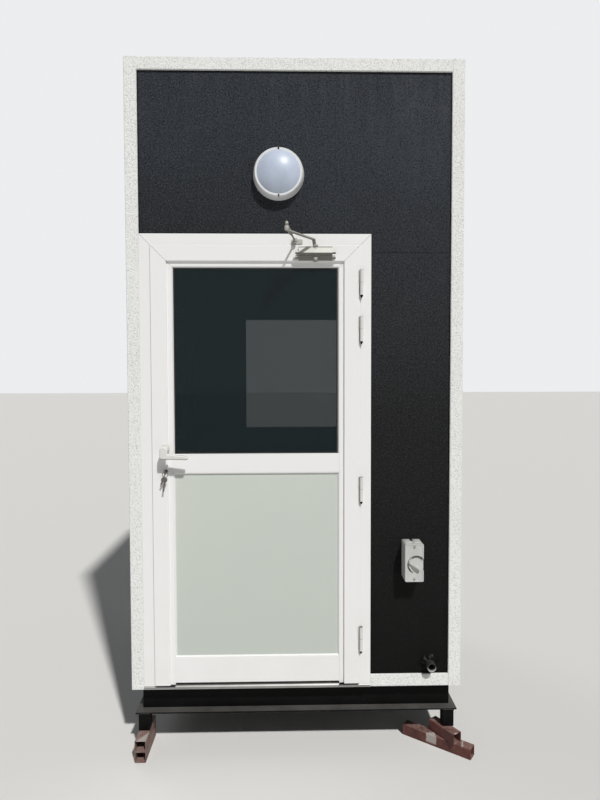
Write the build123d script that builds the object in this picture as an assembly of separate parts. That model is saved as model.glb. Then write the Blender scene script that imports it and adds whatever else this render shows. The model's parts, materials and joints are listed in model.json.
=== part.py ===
from build123d import *
import os
from math import atan, atan2, degrees, hypot, sin

# A one-person guard booth: white rim frame, black boards, glazed white door with a closer,
# on a channel-section skid that stands on loose packer tubes.
# Site frame used while modelling: X to the right, Y from the front face into the booth,
# Z up from the ground. Everything is in millimetres.

# Cabin shell
CABIN_WIDTH = 1500
CABIN_DEPTH = 1500
CABIN_HEIGHT = 2815
RIM_FACE = 56
RIM_EDGE_CHAMFER = 2.5
BOARD_SETBACK = 10
BOARD_EDGE_CHAMFER = 2
SEAM_HEIGHT = 1970
ROOF_THICKNESS = 46
ROOF_DROP = 5
FLOOR_THICKNESS = 15

# Skid base, leg stubs and packers
PACKER_SIZE = 50
PACKER_WALL = 3
PACKER_CORNER_RADIUS = 5
LEG_SIZE = 50
LEG_HEIGHT = 78
LEG_SIDE_INSET = 26
CHANNEL_HEIGHT = 120
CHANNEL_WALL = 6
CHANNEL_INSET = 12
FRONT_FLANGE = 43
SIDE_FLANGE = 26
JOIST_COUNT = 3
JOIST_WIDTH = 50
JOIST_HEIGHT = 100
LEFT_PACKER_OVERHANG = 65
LEFT_PACKER_LENGTH = 200
LONG_PACKER_LENGTH = 330
LONG_PACKER_ANGLE = -37
LONG_PACKER_TIP_FROM_LEG = (89, -103)
SHORT_PACKER_LENGTH = 150
SHORT_PACKER_ANGLE = -57
SHORT_PACKER_TIP_FROM_LEG = (27, -79)

# Doorway, frame and threshold
FRAME_LEFT_FROM_SIDE = 56
FRAME_WIDTH = 1030
FRAME_HEIGHT = 2051
FRAME_FACE = 51
FRAME_DEPTH = 70
FRAME_STOP = 18
FRAME_EDGE_RADIUS = 2
THRESHOLD_HEIGHT = 15
THRESHOLD_NOSE = 2
THRESHOLD_CHAMFER = 5
THRESHOLD_RIDGE = 10

# Door leaf: a lipped profile that overlaps the frame, with a lower strip round its fields
LEAF_PROUD = 8
LEAF_THICKNESS = 50
LIP_OVERLAP = 6
LIP_THICKNESS = 3
REVEAL_GAP = 7
LEAF_GAP = 5
PROFILE_FACE = 70
PROFILE_EDGE_RADIUS = 2
STRIP_FACE = 22
STRIP_SETBACK = 10
MID_RAIL_FACE = 80
MID_RAIL_HEIGHT = 968
BOTTOM_RAIL_FACE = 118
BOTTOM_RAIL_LIFT = 8
BEAD_FACE = 6
BEAD_SLOPE = 29
PANE_THICKNESS = 14
PANE_EDGE_CLEARANCE = 4
GASKET_FACE = 5
GASKET_PROUD = 1.5

# Hinges
HINGE_RADIUS = 7.5
HINGE_PIN_RADIUS = 4
HINGE_LENGTH = 110
HINGE_FROM_LIP = 6
HINGE_STANDOFF = 8
HINGE_PLATE_WIDTH = 13
HINGE_PLATE_THICKNESS = 3
HINGE_HEIGHTS = (210, 893, 1610, 1815)
PIN_CLEARANCE = 0.1
KNUCKLE_CLEARANCE = 0.4
TURNING_CLEARANCE = 0.3

# Windows
WINDOW_WIDTH = 722
WINDOW_HEIGHT = 816
WINDOW_SILL = 1032
WINDOW_FRAME_FACE = 35
WINDOW_FRAME_PROUD = 6
WINDOW_GLASS = 6

# Lever handle, lock and keys
HANDLE_FROM_EDGE = 61
HANDLE_HEIGHT = 1076
ROSE_WIDTH = 33
ROSE_HEIGHT = 47
ROSE_THICKNESS = 8
HUB_RADIUS = 17
LEVER_REACH = 50
LEVER_LENGTH = 123
LEVER_DROP = 37
LEVER_TIP_DROP = 41
LEVER_SECTION = 23
LEVER_TIP_SECTION = 15
LEVER_THICKNESS = 16
LEVER_BEND_RADIUS = 7
LEVER_CROWN_FLAT = 1
LEVER_EDGE_CHAMFER = 4
LOCK_DROP = 98
LOCK_RADIUS = 8.5
LOCK_PROUD = 6
KEY_BOW_RADIUS = 11
KEY_THICKNESS = 2.4
KEY_SHANK_LENGTH = 6
KEY_SHANK_WIDTH = 8
KEY_BLADE_WIDTH = 7
KEY_RING_RADIUS = 12
KEY_RING_WIDTH = 2.4
SPARE_KEY_ANGLES = (7, 31)
SPARE_KEY_BLADES = (52, 24)

# Door closer
CLOSER_LENGTH = 148
CLOSER_HEIGHT = 58
CLOSER_DEPTH = 38
CLOSER_TOP_DEPTH = 24
CLOSER_CREST = 6
CLOSER_FOOT_DEPTH = 10
CLOSER_NOSE_DROP = 30
CLOSER_FROM_TOP = 11
CLOSER_GROOVES = 2
CLOSER_GROOVE_WIDTH = 4
CLOSER_GROOVE_DEPTH = 3
PLUG_RADIUS = 7
PLUG_PROUD = 15
UPPER_PLUG = (23, 32)
LOWER_PLUG = (12, 13)
SPINDLE_FROM_HINGE = 205
SPINDLE_STANDOFF = 12
SPINDLE_RADIUS = 7
SPINDLE_CAP_RADIUS = 9.5
SPINDLE_CAP_DROP = 7
SPINDLE_CAP_HEIGHT = 17
ARM_WIDTH = 16
ARM_THICKNESS = 5
ARM_HUB_RADIUS = 12
ARM_RISER_START = 8
ARM_RISER_RUN = 7
ELBOW_RADIUS = 10
ELBOW_FLANGE_TOP = 1
ELBOW_NECK_RADIUS = 5
ELBOW_BALL_RADIUS = 7
ELBOW_BALL_HEIGHT = 13
ELBOW_GAP = 5
MAIN_ARM_LENGTH = 215
FOREARM_LENGTH = 181
FOREARM_SLEEVE_RADIUS = 8
FOREARM_SLEEVE_LENGTH = 92
FOREARM_ROD_RADIUS = 4
SHOE_FROM_HINGE = 295
SHOE_STANDOFF = 9
SHOE_WIDTH = 50
SHOE_PLATE = 5
SHOE_CORNER_RADIUS = 6
SHOE_PIVOT_FROM_END = 16
SHOE_PIN_RADIUS = 4
SHOE_EYE_RADIUS = 9
SHOE_EYE_HEIGHT = 10
SHOE_LUG = 4
ARM_ABOVE_LEAF = 15
SHOE_ABOVE_LEAF = 5
SHOE_EYE_ABOVE_LEAF = 16
ARM_PLANE_CLEARANCE = 1.5

# Bulkhead light, isolator and cable pipe
LIGHT_X = -75
LIGHT_ABOVE_FRAME = 147
LIGHT_BASE_RADIUS = 113
LIGHT_SHOULDER_RADIUS = 108
LIGHT_RING_RADIUS = 103
LIGHT_DEPTH = 44
LIGHT_SHOULDER_DEPTH = 34
LIGHT_NOTCH = 8
LIGHT_NOTCH_DEPTH = 12
DIFFUSER_RADIUS = 95
DIFFUSER_RISE = 32
DIFFUSER_STEPS = 3
ISOLATOR_FROM_BOARD_MIDDLE = 5
ISOLATOR_HEIGHT_ABOVE_BASE = 594
ISOLATOR_WIDTH = 82
ISOLATOR_TALL = 168
ISOLATOR_DEPTH = 84
ISOLATOR_LID = 26
ISOLATOR_GROOVE = 4
ISOLATOR_GROOVE_INSET = 2
ISOLATOR_CORNER_RADIUS = 5
ISOLATOR_RIM = 5
ISOLATOR_RIM_PROUD = 1.5
DIAL_CENTRE = (9, -8)
DIAL_RADIUS = 29
DIAL_RECESS_RADIUS = 41
DIAL_RECESS = 8
DIAL_THICKNESS = 3
DIAL_STEM_RADIUS = 6
FIN_THICKNESS = 6
HANDLE_FIN_START = (-33, 12)
HANDLE_FIN_LENGTH = 60
HANDLE_FIN_ANGLE = -33
HANDLE_FIN_HEIGHT = 17
POINTER_FIN_START = (-34, -4)
POINTER_FIN_LENGTH = 36
POINTER_FIN_ANGLE = -58
POINTER_FIN_HEIGHT = 12
PIPE_FROM_POST = 85
PIPE_HEIGHT_ABOVE_BASE = 104
PIPE_RADIUS = 20
PIPE_BORE = 16
PIPE_PROUD = 50

# Levels and lines that follow from the sizes above
HALF = CABIN_WIDTH / 2
GROUND_TO_LEG = 2 * PACKER_SIZE
SKID_BOTTOM = GROUND_TO_LEG + LEG_HEIGHT
CABIN_BASE = SKID_BOTTOM + CHANNEL_HEIGHT
CABIN_TOP = CABIN_BASE + CABIN_HEIGHT
INNER_LEFT = -HALF + RIM_FACE
INNER_RIGHT = HALF - RIM_FACE
INNER_BASE = CABIN_BASE + RIM_FACE
INNER_TOP = CABIN_TOP - RIM_FACE
SEAM = CABIN_BASE + SEAM_HEIGHT
LEG_X = HALF - LEG_SIDE_INSET - LEG_SIZE / 2
LEG_Y = CHANNEL_INSET + LEG_SIZE / 2
FRAME_LEFT = -HALF + FRAME_LEFT_FROM_SIDE
FRAME_RIGHT = FRAME_LEFT + FRAME_WIDTH
FRAME_TOP = CABIN_BASE + FRAME_HEIGHT
FRAME_REVEAL = FRAME_FACE + LIP_OVERLAP
THRESHOLD_TOP = CABIN_BASE + THRESHOLD_HEIGHT
LEAF_LEFT = FRAME_LEFT + FRAME_FACE
LEAF_RIGHT = FRAME_RIGHT - FRAME_FACE
LEAF_TOP = FRAME_TOP - FRAME_FACE
LEAF_BOTTOM = THRESHOLD_TOP + LEAF_GAP
LEAF_FRONT = -LEAF_PROUD
LEAF_BACK = LEAF_FRONT + LEAF_THICKNESS
LEAF_MIDDLE = (LEAF_FRONT + LEAF_BACK) / 2
STRIP_FRONT = LEAF_FRONT + STRIP_SETBACK
STOP_FRONT = LEAF_BACK + LEAF_GAP
FIELD_INSET = PROFILE_FACE + STRIP_FACE
FIELD_LEFT = LEAF_LEFT + FIELD_INSET
FIELD_RIGHT = LEAF_RIGHT - FIELD_INSET
FIELD_TOP = LEAF_TOP - FIELD_INSET
MID_RAIL_BOTTOM = LEAF_BOTTOM + MID_RAIL_HEIGHT
MID_RAIL_TOP = MID_RAIL_BOTTOM + MID_RAIL_FACE
BOTTOM_RAIL_BOTTOM = LEAF_BOTTOM + BOTTOM_RAIL_LIFT
BOTTOM_RAIL_TOP = BOTTOM_RAIL_BOTTOM + BOTTOM_RAIL_FACE
HINGE_X = LEAF_RIGHT + HINGE_FROM_LIP
HINGE_Y = LEAF_FRONT - HINGE_STANDOFF
PANE_FRONT = LEAF_MIDDLE - PANE_THICKNESS / 2
HANDLE_X = LEAF_LEFT + HANDLE_FROM_EDGE
HANDLE_Z = LEAF_BOTTOM + HANDLE_HEIGHT
CLOSER_TOP = LEAF_TOP - CLOSER_FROM_TOP
CLOSER_BOTTOM = CLOSER_TOP - CLOSER_HEIGHT
SPINDLE = (HINGE_X - SPINDLE_FROM_HINGE, HINGE_Y - SPINDLE_STANDOFF)
SHOE_PIVOT = (HINGE_X - SHOE_FROM_HINGE, HINGE_Y - SHOE_STANDOFF)
MAIN_ARM_Z = LEAF_TOP + ARM_ABOVE_LEAF
SHOE_EYE_Z = LEAF_TOP + SHOE_EYE_ABOVE_LEAF
FOREARM_RISE = MAIN_ARM_Z + ARM_THICKNESS + ELBOW_GAP + FOREARM_SLEEVE_RADIUS - SHOE_EYE_Z
ISOLATOR_X = (FRAME_RIGHT + INNER_RIGHT) / 2 + ISOLATOR_FROM_BOARD_MIDDLE
PIPE_X = INNER_RIGHT - PIPE_FROM_POST
LOW_CORNER = (Align.MIN, Align.MIN, Align.MIN)


def block(x0, x1, y0, y1, z0, z1):
    """A rectangular solid between two corners."""
    return Pos(x0, y0, z0) * Box(x1 - x0, y1 - y0, z1 - z0, align=LOW_CORNER)


def prism(points, z0, z1):
    """An upright solid over a plan outline."""
    face = make_face(Polyline(*points, close=True))
    return Pos(0, 0, z0) * extrude(face, amount=z1 - z0)


def upright_slab(points, y0, y1):
    """A slab whose outline is given in X and Z."""
    face = Plane.XZ * make_face(Polyline(*points, close=True))
    return Pos(0, y0, 0) * extrude(face, amount=-(y1 - y0))


def rod(radius, x, y, z0, z1):
    """A vertical round bar."""
    return Pos(x, y, z0) * Cylinder(radius, z1 - z0, align=(Align.CENTER, Align.CENTER, Align.MIN))


def forward_rod(radius, x, z, y0, y1):
    """A round bar that runs along Y."""
    upright = Cylinder(radius, y1 - y0, align=(Align.CENTER, Align.CENTER, Align.MIN))
    return Pos(x, y0, z) * Rot(-90, 0, 0) * upright


def side_rod(radius, x0, x1, y, z):
    """A round bar that runs along X."""
    upright = Cylinder(radius, x1 - x0, align=(Align.CENTER, Align.CENTER, Align.MIN))
    return Pos(x0, y, z) * Rot(0, 90, 0) * upright


def turned(outline):
    """A solid of revolution about Z from an outline given in radius and height."""
    face = Plane.XZ * make_face(Polyline(*outline, close=True))
    return revolve(face, Axis.Z)


def round_corners(face, spots, radius):
    """A flat section with its corners at the given spots rounded."""
    corners = [
        corner for corner in face.vertices()
        if min(hypot(corner.X - x, corner.Y - y) for x, y in spots) < radius / 2
    ]
    return fillet(corners, radius)


def rounded_section(outline, rounded, radius):
    """A flat section over an outline, with some of its corners rounded."""
    return round_corners(make_face(Polyline(*outline, close=True)), rounded, radius)


def turned_about_plan_centre(shape):
    """The same shape seen from the opposite side of the booth."""
    centre = Pos(0, CABIN_DEPTH / 2, 0)
    return centre * Rot(0, 0, 180) * centre.inverse() * shape


def back_wall_place():
    """The back wall's own frame: X along the wall, Y out of the booth from its outer face."""
    return Pos(0, CABIN_DEPTH, 0)


def left_wall_place():
    """The left wall's own frame."""
    return Pos(-HALF, CABIN_DEPTH / 2, 0) * Rot(0, 0, 90)


def right_wall_place():
    """The right wall's own frame."""
    return Pos(HALF, CABIN_DEPTH / 2, 0) * Rot(0, 0, -90)


def corner_posts(y0):
    """The two upright corner posts of one face."""
    posts = []
    for x0 in (-HALF, HALF - RIM_FACE):
        post = block(x0, x0 + RIM_FACE, y0, y0 + RIM_FACE, CABIN_BASE, CABIN_TOP)
        posts.append(chamfer(post.edges().filter_by(Axis.Z), RIM_EDGE_CHAMFER))
    return posts


def rail_along_x(x0, x1, y0, z0):
    """A rail between two posts of the front or back face."""
    rail = block(x0, x1, y0, y0 + RIM_FACE, z0, z0 + RIM_FACE)
    return chamfer(rail.edges().filter_by(Axis.X), RIM_EDGE_CHAMFER)


def rail_along_y(x0, z0):
    """A rail between the front and back posts of a side."""
    rail = block(x0, x0 + RIM_FACE, RIM_FACE, CABIN_DEPTH - RIM_FACE, z0, z0 + RIM_FACE)
    return chamfer(rail.edges().filter_by(Axis.Y), RIM_EDGE_CHAMFER)


def rails(z0, front_start):
    """The four rails at one level; the front one starts where the doorway ends."""
    back = CABIN_DEPTH - RIM_FACE
    return [
        rail_along_x(front_start, INNER_RIGHT, 0, z0),
        rail_along_x(INNER_LEFT, INNER_RIGHT, back, z0),
        rail_along_y(-HALF, z0),
        rail_along_y(HALF - RIM_FACE, z0),
    ]


def front_board_upper():
    """The board over the door, which steps down beside the door frame to the seam."""
    outline = (
        (INNER_LEFT, FRAME_TOP),
        (FRAME_RIGHT, FRAME_TOP),
        (FRAME_RIGHT, SEAM),
        (INNER_RIGHT, SEAM),
        (INNER_RIGHT, INNER_TOP),
        (INNER_LEFT, INNER_TOP),
    )
    board = upright_slab(outline, BOARD_SETBACK, RIM_FACE)
    seam_edges = board.edges().filter_by(Axis.X).group_by(Axis.Z)[0].sort_by(Axis.Y)
    return chamfer(seam_edges[0], BOARD_EDGE_CHAMFER)


def front_board_lower():
    """The board between the door frame and the right post."""
    board = block(FRAME_RIGHT, INNER_RIGHT, BOARD_SETBACK, RIM_FACE, INNER_BASE, SEAM)
    seam_edges = board.edges().filter_by(Axis.X).group_by(Axis.Z)[-1].sort_by(Axis.Y)
    return chamfer(seam_edges[0], BOARD_EDGE_CHAMFER)


def wall_boards(length):
    """A wall's boards round its window, in the wall's own frame: over, under and beside it."""
    sill = CABIN_BASE + WINDOW_SILL
    head = sill + WINDOW_HEIGHT
    half = length / 2 - RIM_FACE
    window = WINDOW_WIDTH / 2
    over = block(-half, half, -RIM_FACE, -BOARD_SETBACK, head, INNER_TOP)
    under = block(-half, half, -RIM_FACE, -BOARD_SETBACK, INNER_BASE, sill)
    beside = [
        block(-half, -window, -RIM_FACE, -BOARD_SETBACK, sill, head),
        block(window, half, -RIM_FACE, -BOARD_SETBACK, sill, head),
    ]
    return over, under, beside


def window_frame():
    """A window's frame, standing a little proud of the boards, in its wall's own frame."""
    sill = CABIN_BASE + WINDOW_SILL
    half = WINDOW_WIDTH / 2
    front = -BOARD_SETBACK + WINDOW_FRAME_PROUD
    whole = block(-half, half, -RIM_FACE, front, sill, sill + WINDOW_HEIGHT)
    inset = WINDOW_FRAME_FACE
    top = sill + WINDOW_HEIGHT - inset
    return whole - block(-half + inset, half - inset, -RIM_FACE, front, sill + inset, top)


def window_pane():
    """A window's glass, in the middle of its frame."""
    sill = CABIN_BASE + WINDOW_SILL + WINDOW_FRAME_FACE
    half = WINDOW_WIDTH / 2 - WINDOW_FRAME_FACE
    middle = -(RIM_FACE + BOARD_SETBACK) / 2
    top = CABIN_BASE + WINDOW_SILL + WINDOW_HEIGHT - WINDOW_FRAME_FACE
    return block(-half, half, middle - WINDOW_GLASS / 2, middle + WINDOW_GLASS / 2, sill, top)


def roof():
    """The flat roof panel, let in between the top rails."""
    top = CABIN_TOP - ROOF_DROP
    return block(INNER_LEFT, INNER_RIGHT, RIM_FACE, CABIN_DEPTH - RIM_FACE, top - ROOF_THICKNESS, top)


def floor():
    """The floor deck between the bottom rails, up to the threshold at the doorway."""
    y0 = RIM_FACE
    y1 = CABIN_DEPTH - RIM_FACE
    deck = block(INNER_LEFT, INNER_RIGHT, y0, y1, CABIN_BASE, CABIN_BASE + FLOOR_THICKNESS)
    return deck - block(FRAME_LEFT, FRAME_RIGHT, y0, FRAME_DEPTH, CABIN_BASE, THRESHOLD_TOP)


def front_channel():
    """The front skid channel: a web with both flanges outward, mitred at its ends."""
    tip_x = HALF - CHANNEL_INSET
    web_x = tip_x - SIDE_FLANGE
    root_x = web_x - CHANNEL_WALL
    tip_y = CHANNEL_INSET
    web_y = tip_y + FRONT_FLANGE
    root_y = web_y + CHANNEL_WALL
    flange = (
        (-tip_x, tip_y), (tip_x, tip_y), (web_x, web_y),
        (root_x, root_y), (-root_x, root_y), (-web_x, web_y),
    )
    web = ((-web_x, web_y), (web_x, web_y), (root_x, root_y), (-root_x, root_y))
    return channel(flange, web)


def right_channel():
    """The right-hand skid channel, mitred to the front and back ones."""
    tip_x = HALF - CHANNEL_INSET
    web_x = tip_x - SIDE_FLANGE
    root_x = web_x - CHANNEL_WALL
    tip_y = CHANNEL_INSET
    web_y = tip_y + FRONT_FLANGE
    root_y = web_y + CHANNEL_WALL
    far = CABIN_DEPTH
    flange = (
        (tip_x, tip_y), (tip_x, far - tip_y), (web_x, far - web_y), (root_x, far - root_y),
        (root_x, root_y), (web_x, web_y),
    )
    web = ((web_x, web_y), (web_x, far - web_y), (root_x, far - root_y), (root_x, root_y))
    return channel(flange, web)


def channel(flange_plan, web_plan):
    """A channel section made of its two flanges and its web."""
    low = prism(flange_plan, SKID_BOTTOM, SKID_BOTTOM + CHANNEL_WALL)
    high = prism(flange_plan, CABIN_BASE - CHANNEL_WALL, CABIN_BASE)
    web = prism(web_plan, SKID_BOTTOM, CABIN_BASE)
    return low + web + high


def joists():
    """Box joists under the floor, from the front web to the back web."""
    web = CHANNEL_INSET + FRONT_FLANGE + CHANNEL_WALL
    reach = HALF - CHANNEL_INSET - SIDE_FLANGE
    pitch = 2 * reach / (JOIST_COUNT + 1)
    made = []
    for number in range(1, JOIST_COUNT + 1):
        middle = -reach + number * pitch
        x0 = middle - JOIST_WIDTH / 2
        made.append(
            block(x0, x0 + JOIST_WIDTH, web, CABIN_DEPTH - web, CABIN_BASE - JOIST_HEIGHT, CABIN_BASE)
        )
    return made


def leg(middle_x):
    """A square leg stub under one front corner of the skid."""
    half = LEG_SIZE / 2
    return block(middle_x - half, middle_x + half, LEG_Y - half, LEG_Y + half, GROUND_TO_LEG, SKID_BOTTOM)


def packer(length):
    """A loose square tube with open ends, its front end at the origin, running back along X."""
    half = PACKER_SIZE / 2
    outer = block(-length, 0, -half, half, 0, PACKER_SIZE)
    outer = fillet(outer.edges().filter_by(Axis.X), PACKER_CORNER_RADIUS)
    inner_half = half - PACKER_WALL
    return outer - block(-length, 0, -inner_half, inner_half, PACKER_WALL, PACKER_SIZE - PACKER_WALL)


def front_packers():
    """The packer tubes under the two front legs: the lower pair and the upper pair."""
    left_low = Pos(-LEG_X, -LEFT_PACKER_OVERHANG, 0) * Rot(0, 0, -90) * packer(LEFT_PACKER_LENGTH)
    left_high = Pos(0, 0, PACKER_SIZE) * left_low
    right_leg = Pos(LEG_X, LEG_Y, 0)
    long_place = right_leg * Pos(*LONG_PACKER_TIP_FROM_LEG, 0) * Rot(0, 0, LONG_PACKER_ANGLE)
    short_place = right_leg * Pos(*SHORT_PACKER_TIP_FROM_LEG, PACKER_SIZE) * Rot(0, 0, SHORT_PACKER_ANGLE)
    low = [left_low, long_place * packer(LONG_PACKER_LENGTH)]
    high = [left_high, short_place * packer(SHORT_PACKER_LENGTH)]
    return low, high


def frame_section():
    """The door frame's section: inward from its outer edge, and back from its face."""
    reach = FRAME_REVEAL + FRAME_STOP
    outline = (
        (0, 0), (FRAME_REVEAL, 0), (FRAME_REVEAL, STOP_FRONT),
        (reach, STOP_FRONT), (reach, FRAME_DEPTH), (0, FRAME_DEPTH),
    )
    return rounded_section(outline, ((0, 0), (FRAME_REVEAL, 0)), FRAME_EDGE_RADIUS)


def leaf_section():
    """The leaf's section: inward from the lip's edge, and back from its face."""
    core = LIP_OVERLAP + REVEAL_GAP
    outline = (
        (0, 0), (PROFILE_FACE, 0), (PROFILE_FACE, STRIP_SETBACK), (FIELD_INSET, STRIP_SETBACK),
        (FIELD_INSET, LEAF_THICKNESS - STRIP_SETBACK), (PROFILE_FACE, LEAF_THICKNESS - STRIP_SETBACK),
        (PROFILE_FACE, LEAF_THICKNESS), (core, LEAF_THICKNESS), (core, LIP_THICKNESS), (0, LIP_THICKNESS),
    )
    rounded = ((0, 0), (PROFILE_FACE, 0), (FIELD_INSET, STRIP_SETBACK))
    return rounded_section(outline, rounded, PROFILE_EDGE_RADIUS)


def left_upright(section, x, front, bottom, top, reach):
    """A left-hand upright of the given section, mitred at its head."""
    place = Plane(origin=(x, front, bottom), x_dir=(1, 0, 0), z_dir=(0, 0, 1))
    bar = extrude(place * section, amount=top - bottom)
    mitre = ((x, bottom), (x + reach, bottom), (x + reach, top - reach), (x, top))
    return bar & upright_slab(mitre, front, front + FRAME_DEPTH)


def mitred_head(section, left, right, front, top, reach):
    """A head of the given section, mitred at both ends."""
    place = Plane(origin=(left, front, top), x_dir=(0, 0, -1), z_dir=(1, 0, 0))
    bar = extrude(place * section, amount=right - left)
    mitre = ((left, top), (left + reach, top - reach), (right - reach, top - reach), (right, top))
    return bar & upright_slab(mitre, front, front + FRAME_DEPTH)


def across_doorway(shape):
    """The mirror image of a left-hand door part on the right of the doorway."""
    middle = (FRAME_LEFT + FRAME_RIGHT) / 2
    return mirror(shape, Plane.YZ.offset(middle))


def frame_jamb():
    """The left jamb of the door frame with its stop, mitred at the head."""
    reach = FRAME_REVEAL + FRAME_STOP
    return left_upright(frame_section(), FRAME_LEFT, 0, THRESHOLD_TOP, FRAME_TOP, reach)


def frame_head():
    """The head of the door frame, mitred to both jambs."""
    reach = FRAME_REVEAL + FRAME_STOP
    return mitred_head(frame_section(), FRAME_LEFT, FRAME_RIGHT, 0, FRAME_TOP, reach)


def threshold():
    """The aluminium sill under the door frame, with a raised ridge behind the leaf."""
    sill = block(FRAME_LEFT, FRAME_RIGHT, -THRESHOLD_NOSE, FRAME_DEPTH, CABIN_BASE, THRESHOLD_TOP)
    nose = sill.edges().filter_by(Axis.X).group_by(Axis.Z)[-1].sort_by(Axis.Y)[0]
    sill = chamfer(nose, THRESHOLD_CHAMFER)
    inner = FRAME_REVEAL + FRAME_STOP
    ridge = block(
        FRAME_LEFT + inner, FRAME_RIGHT - inner, STOP_FRONT, FRAME_DEPTH,
        THRESHOLD_TOP, THRESHOLD_TOP + THRESHOLD_RIDGE,
    )
    return sill + ridge


def leaf_stile():
    """The lock-side stile of the leaf, mitred into the top rail."""
    return left_upright(leaf_section(), LEAF_LEFT, LEAF_FRONT, LEAF_BOTTOM, LEAF_TOP, FIELD_INSET)


def leaf_top_rail():
    """The top rail of the leaf, mitred to both stiles."""
    return mitred_head(leaf_section(), LEAF_LEFT, LEAF_RIGHT, LEAF_FRONT, LEAF_TOP, FIELD_INSET)


def leaf_cross_rail(bottom, top):
    """A rail between the stiles, level with their inner strips."""
    back = LEAF_BACK - STRIP_SETBACK
    bar = block(FIELD_LEFT, FIELD_RIGHT, STRIP_FRONT, back, bottom, top)
    return fillet(bar.edges().filter_by(Axis.X), PROFILE_EDGE_RADIUS)


def bead_ring(bottom, top):
    """A glazing bead round one field of the leaf, with its sight edge sloping to the pane."""
    depth = PANE_FRONT - STRIP_FRONT
    outer = block(FIELD_LEFT, FIELD_RIGHT, STRIP_FRONT, PANE_FRONT, bottom, top)
    sight_width = FIELD_RIGHT - FIELD_LEFT - 2 * BEAD_FACE
    sight = Plane.XZ * Rectangle(sight_width, top - bottom - 2 * BEAD_FACE)
    sight = extrude(sight, amount=depth, taper=-BEAD_SLOPE)
    return outer - Pos((FIELD_LEFT + FIELD_RIGHT) / 2, PANE_FRONT, (bottom + top) / 2) * sight


def glass_gasket():
    """The black gasket on the face of the glass, along the inside of its bead."""
    x0 = FIELD_LEFT + BEAD_FACE
    x1 = FIELD_RIGHT - BEAD_FACE
    z0 = MID_RAIL_TOP + BEAD_FACE
    z1 = FIELD_TOP - BEAD_FACE
    face = GASKET_FACE
    front = PANE_FRONT - GASKET_PROUD
    whole = block(x0, x1, front, PANE_FRONT, z0, z1)
    return whole - block(x0 + face, x1 - face, front, PANE_FRONT, z0 + face, z1 - face)


def through_leaf(shape):
    """The mirror image of a part on the outer face of the leaf, on its inner face."""
    return mirror(shape, Plane.XZ.offset(-LEAF_MIDDLE))


def on_both_faces(shapes):
    """Parts of the outer face of the leaf together with their images on the inner face."""
    return list(shapes) + [through_leaf(shape) for shape in shapes]


def leaf_pane(bottom, top):
    """A pane held between the beads, short of the rails by its edge clearance."""
    gap = PANE_EDGE_CLEARANCE
    back = PANE_FRONT + PANE_THICKNESS
    return block(FIELD_LEFT + gap, FIELD_RIGHT - gap, PANE_FRONT, back, bottom + gap, top - gap)


def frame_hinge_half(centre):
    """The lower half of a hinge, with its pin and the plate that stands on the frame."""
    bottom = centre - HINGE_LENGTH / 2
    knuckle = rod(HINGE_RADIUS, HINGE_X, HINGE_Y, bottom, centre)
    plate = block(HINGE_X, HINGE_X + HINGE_RADIUS, HINGE_Y, 0, bottom, centre)
    return knuckle + plate + rod(HINGE_PIN_RADIUS, HINGE_X, HINGE_Y, centre, centre + HINGE_LENGTH / 3)


def leaf_hinge_half(centre):
    """The upper half of a hinge, bored for the pin, with its plate on the leaf's lip."""
    bottom = centre + KNUCKLE_CLEARANCE
    top = centre + HINGE_LENGTH / 2
    knuckle = rod(HINGE_RADIUS, HINGE_X, HINGE_Y, bottom, top)
    plate_front = LEAF_FRONT - HINGE_PLATE_THICKNESS
    plate = block(HINGE_X - HINGE_PLATE_WIDTH, HINGE_X, plate_front, LEAF_FRONT, bottom, top)
    bore_top = centre + HINGE_LENGTH / 3 + KNUCKLE_CLEARANCE
    return knuckle + plate - rod(HINGE_PIN_RADIUS + PIN_CLEARANCE, HINGE_X, HINGE_Y, bottom, bore_top)


def hinge_centres():
    """The height at which each hinge splits, from the lowest to the top one."""
    return [LEAF_BOTTOM + height for height in HINGE_HEIGHTS]


def lever():
    """The outer lever: a round hub, then a grip that drops, turns to the hinge side and tapers."""
    back = LEAF_FRONT - LEVER_REACH + LEVER_THICKNESS / 2
    rose_face = LEAF_FRONT - ROSE_THICKNESS - TURNING_CLEARANCE
    hub = forward_rod(HUB_RADIUS, HANDLE_X, HANDLE_Z, back - LEVER_THICKNESS / 2, rose_face)
    tip = LEVER_LENGTH - HUB_RADIUS
    heel = (-HUB_RADIUS, -LEVER_DROP)
    tip_low = (tip, -LEVER_TIP_DROP)
    tip_high = (tip, LEVER_TIP_SECTION - LEVER_TIP_DROP)
    bend = (HUB_RADIUS, LEVER_SECTION - LEVER_DROP)
    crown = ((-HUB_RADIUS, HUB_RADIUS), (HUB_RADIUS, HUB_RADIUS))
    outline = (crown[0], heel, tip_low, tip_high, bend, crown[1])
    section = rounded_section(outline, (heel, tip_low, tip_high), LEVER_BEND_RADIUS)
    section = round_corners(section, crown, HUB_RADIUS - LEVER_CROWN_FLAT)
    grip = extrude(Plane.XZ * section, amount=LEVER_THICKNESS)
    grip = chamfer(grip.faces().sort_by(Axis.Y)[0].edges(), LEVER_EDGE_CHAMFER)
    return hub + Pos(HANDLE_X, back, HANDLE_Z) * grip


def rose():
    """The oval plate behind the outer lever."""
    plate = Plane.XZ * SlotOverall(ROSE_HEIGHT, ROSE_WIDTH, rotation=90)
    return Pos(HANDLE_X, LEAF_FRONT, HANDLE_Z) * extrude(plate, amount=ROSE_THICKNESS)


def lock_cylinder():
    """The end of the lock's cylinder that stands proud of the outer face."""
    z = HANDLE_Z - LOCK_DROP
    return forward_rod(LOCK_RADIUS, HANDLE_X, z, LEAF_FRONT - LOCK_PROUD, LEAF_FRONT)


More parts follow.
